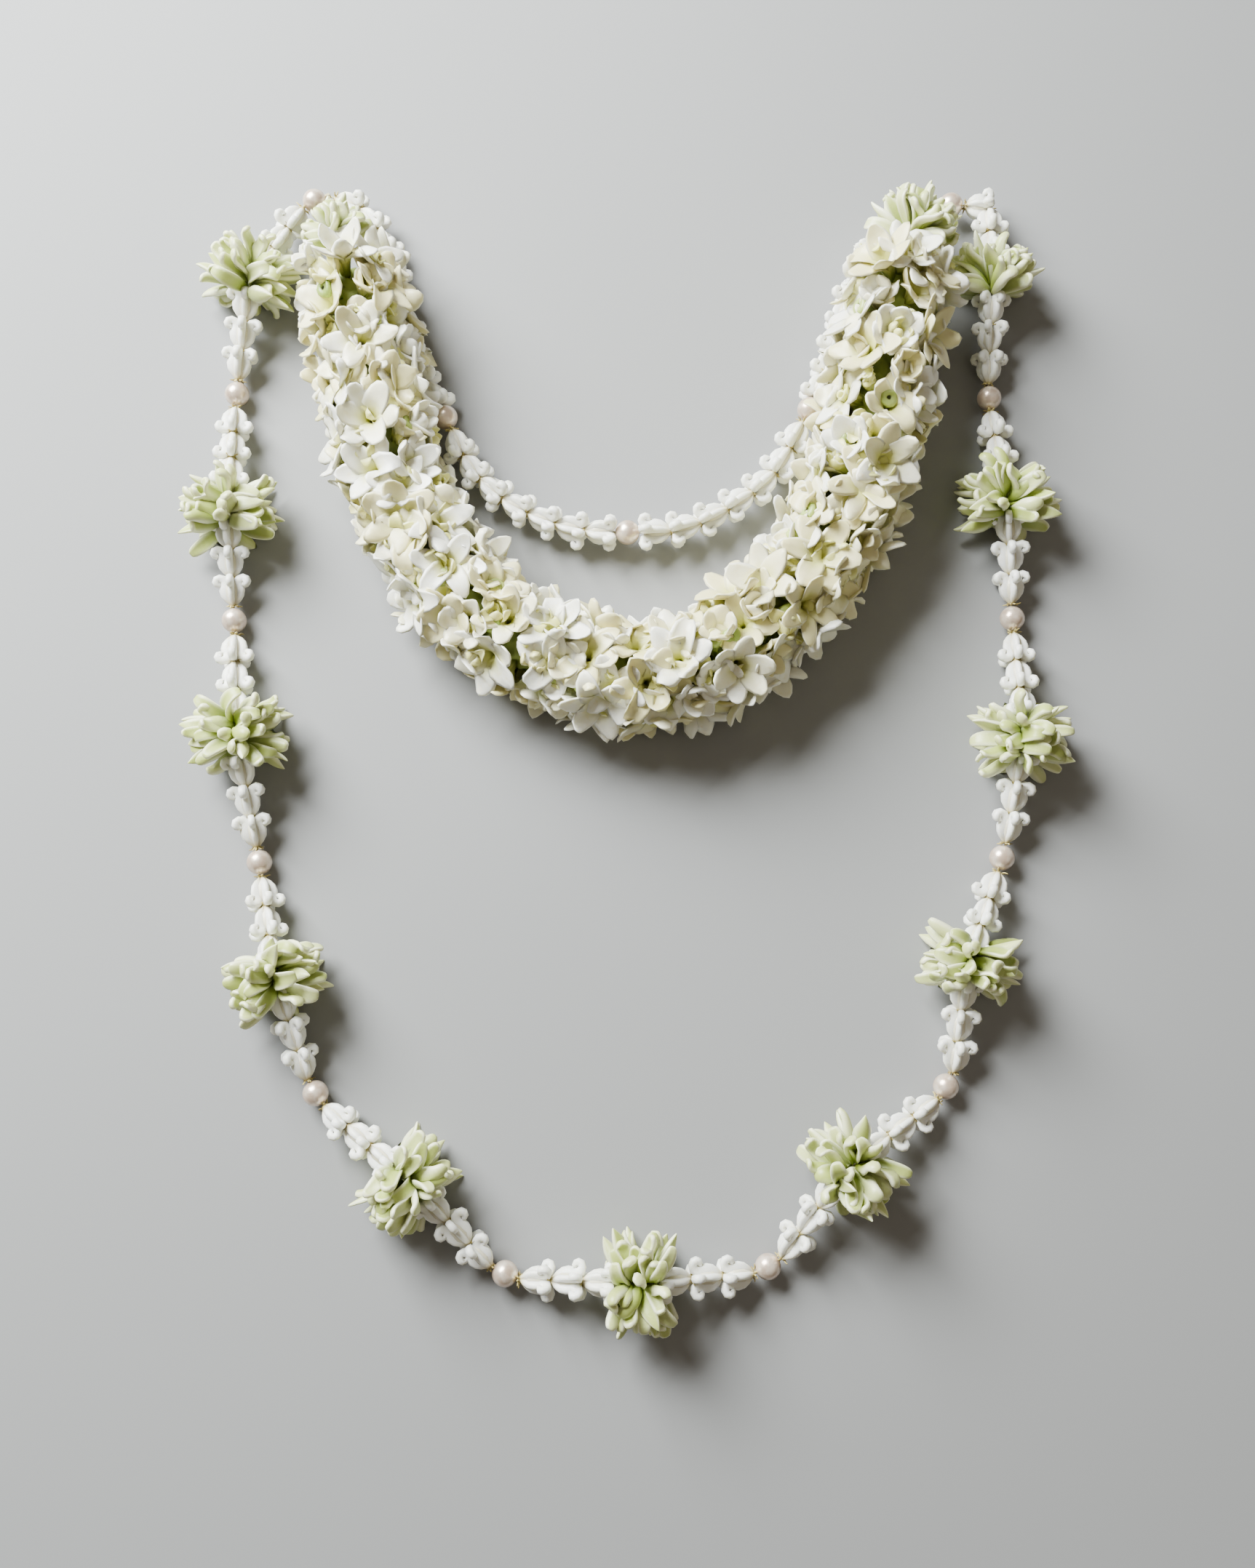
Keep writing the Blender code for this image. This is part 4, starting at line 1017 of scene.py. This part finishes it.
ivory, along, edge, luck, _ = petal_wax("tuberose_petal", roughness=0.4)
soft_mottle = ivory.noise(300, 3.0)
fresh = ivory.mix(ivory.span(luck, 0.15, 0.95), colour(0.87, 0.86, 0.76), colour(0.76, 0.70, 0.37))
fresh = ivory.mix(ivory.span(soft_mottle, 0.5, 0.8) * 0.5, fresh, colour(0.76, 0.65, 0.38))
fresh = ivory.mix(ivory.span(luck, 1.0, 1.4) * 0.8, fresh, colour(0.64, 0.65, 0.16))
# Towards its root a tepal goes to deep green: partly the floret's green throat, partly painted shade
# deep inside the floret and the rope
throat = ivory.mix(ivory.span(along, 0.14, 0.4), colour(0.16, 0.20, 0.02), colour(0.62, 0.62, 0.18))
tepal = ivory.mix(ivory.span(along + 0.12 * edge, 0.38, 0.8), throat, fresh)
rimmed = ivory.span(edge, 0.8, 1.0) * ivory.span(along, 0.4, 0.7) * 0.5
tepal = ivory.mix(rimmed, tepal, colour(0.91, 0.90, 0.82))
ivory.connect(ivory.shader, {"Base Color": tepal, "Roughness": 0.33 + 0.2 * soft_mottle})
ivory.bump(soft_mottle + ivory.noise(1800), 0.00012, 0.5)

stub, along, _, luck, _ = petal_wax("tuberose_tube", roughness=0.45)
tube = stub.mix(luck, colour(0.24, 0.34, 0.05), colour(0.42, 0.50, 0.14))
# Painted shade: the nub's small hollow at the top is painted near black
tube = stub.mix(stub.span(along, 0.74, 0.86), tube, colour(0.06, 0.07, 0.015))
stub.connect(stub.shader, {"Base Color": tube})
stub.bump(stub.noise(900), 0.0002)

# The core's greens are the tubes' own colour, darkened as painted shade deep inside the rope
shade = Finish("tuberose_core", roughness=0.6)
packed_tubes_and_shade = shade.mix(shade.noise(200), colour(0.19, 0.24, 0.05), colour(0.36, 0.42, 0.10))
shade.connect(shade.shader, {"Base Color": packed_tubes_and_shade})

for number in range(ROPE_PIECES):
    first, last = (WHORLS * (number + step) // ROPE_PIECES for step in (0, 1))
    piece = joined([*[tuberose("tepals", first, last, layer) for layer in ROPE_LAYERS],
                    nubs("nubs", first, last), rope_core("core", first, last)],
                   f"tuberose_{number + 1}")
    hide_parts(f"rope_{number + 1}")

# The floor, the light and the camera: a plain pale floor, a broad soft light from the upper left, a
# weak fill, and a camera a little short of straight above.
FLOOR_SIZE = 6.0
CAMERA_PLACE = (0.0036, -0.1218, 0.6729)
CAMERA_TILT = math.radians(8.3)
CAMERA_LENS = 33.4
CAMERA_SENSOR = 36.0
# For each light: its place, size, power and tint
KEY_LIGHT = (np.array([-0.75, 0.82, 0.80]), 0.8, 114.0, (0.94, 0.985, 0.985))
FILL_LIGHT = (np.array([0.9, -0.5, 1.2]), 1.4, 2.0, (1.0, 0.86, 0.68))
WORLD_TINT = (1.0, 0.89, 0.74, 1.0)
WORLD_STRENGTH = 0.2

bpy.ops.mesh.primitive_plane_add(size=FLOOR_SIZE)
floor = bpy.context.object
floor.name = "floor"
pale = Finish("floor", base_color=colour(0.27, 0.27, 0.27), roughness=0.8)
floor.data.materials.append(pale.material)


def soft_light(name, place, size, power, tint):
    """A square area light that points at the middle of the lei."""
    lamp = bpy.data.lights.new(name, "AREA")
    lamp.size = size
    lamp.energy = power
    lamp.color = tint
    light = bpy.data.objects.new(name, lamp)
    light.location = place
    direction = -place / np.linalg.norm(place)
    turn = math.atan2(direction[0], -direction[1]) + math.pi
    light.rotation_euler = (math.acos(-direction[2]), 0, turn)
    bpy.context.scene.collection.objects.link(light)


soft_light("key", *KEY_LIGHT)
soft_light("fill", *FILL_LIGHT)
world = bpy.data.worlds.new("studio")
world.use_nodes = True
background = world.node_tree.nodes["Background"]
background.inputs["Color"].default_value = WORLD_TINT
background.inputs["Strength"].default_value = WORLD_STRENGTH
bpy.context.scene.world = world

lens = bpy.data.cameras.new("camera")
lens.lens = CAMERA_LENS
lens.sensor_width = CAMERA_SENSOR
lens.clip_start = 0.01
camera = bpy.data.objects.new("camera", lens)
camera.location = CAMERA_PLACE
camera.rotation_euler = (CAMERA_TILT, 0, 0)
bpy.context.scene.collection.objects.link(camera)
bpy.context.scene.camera = camera
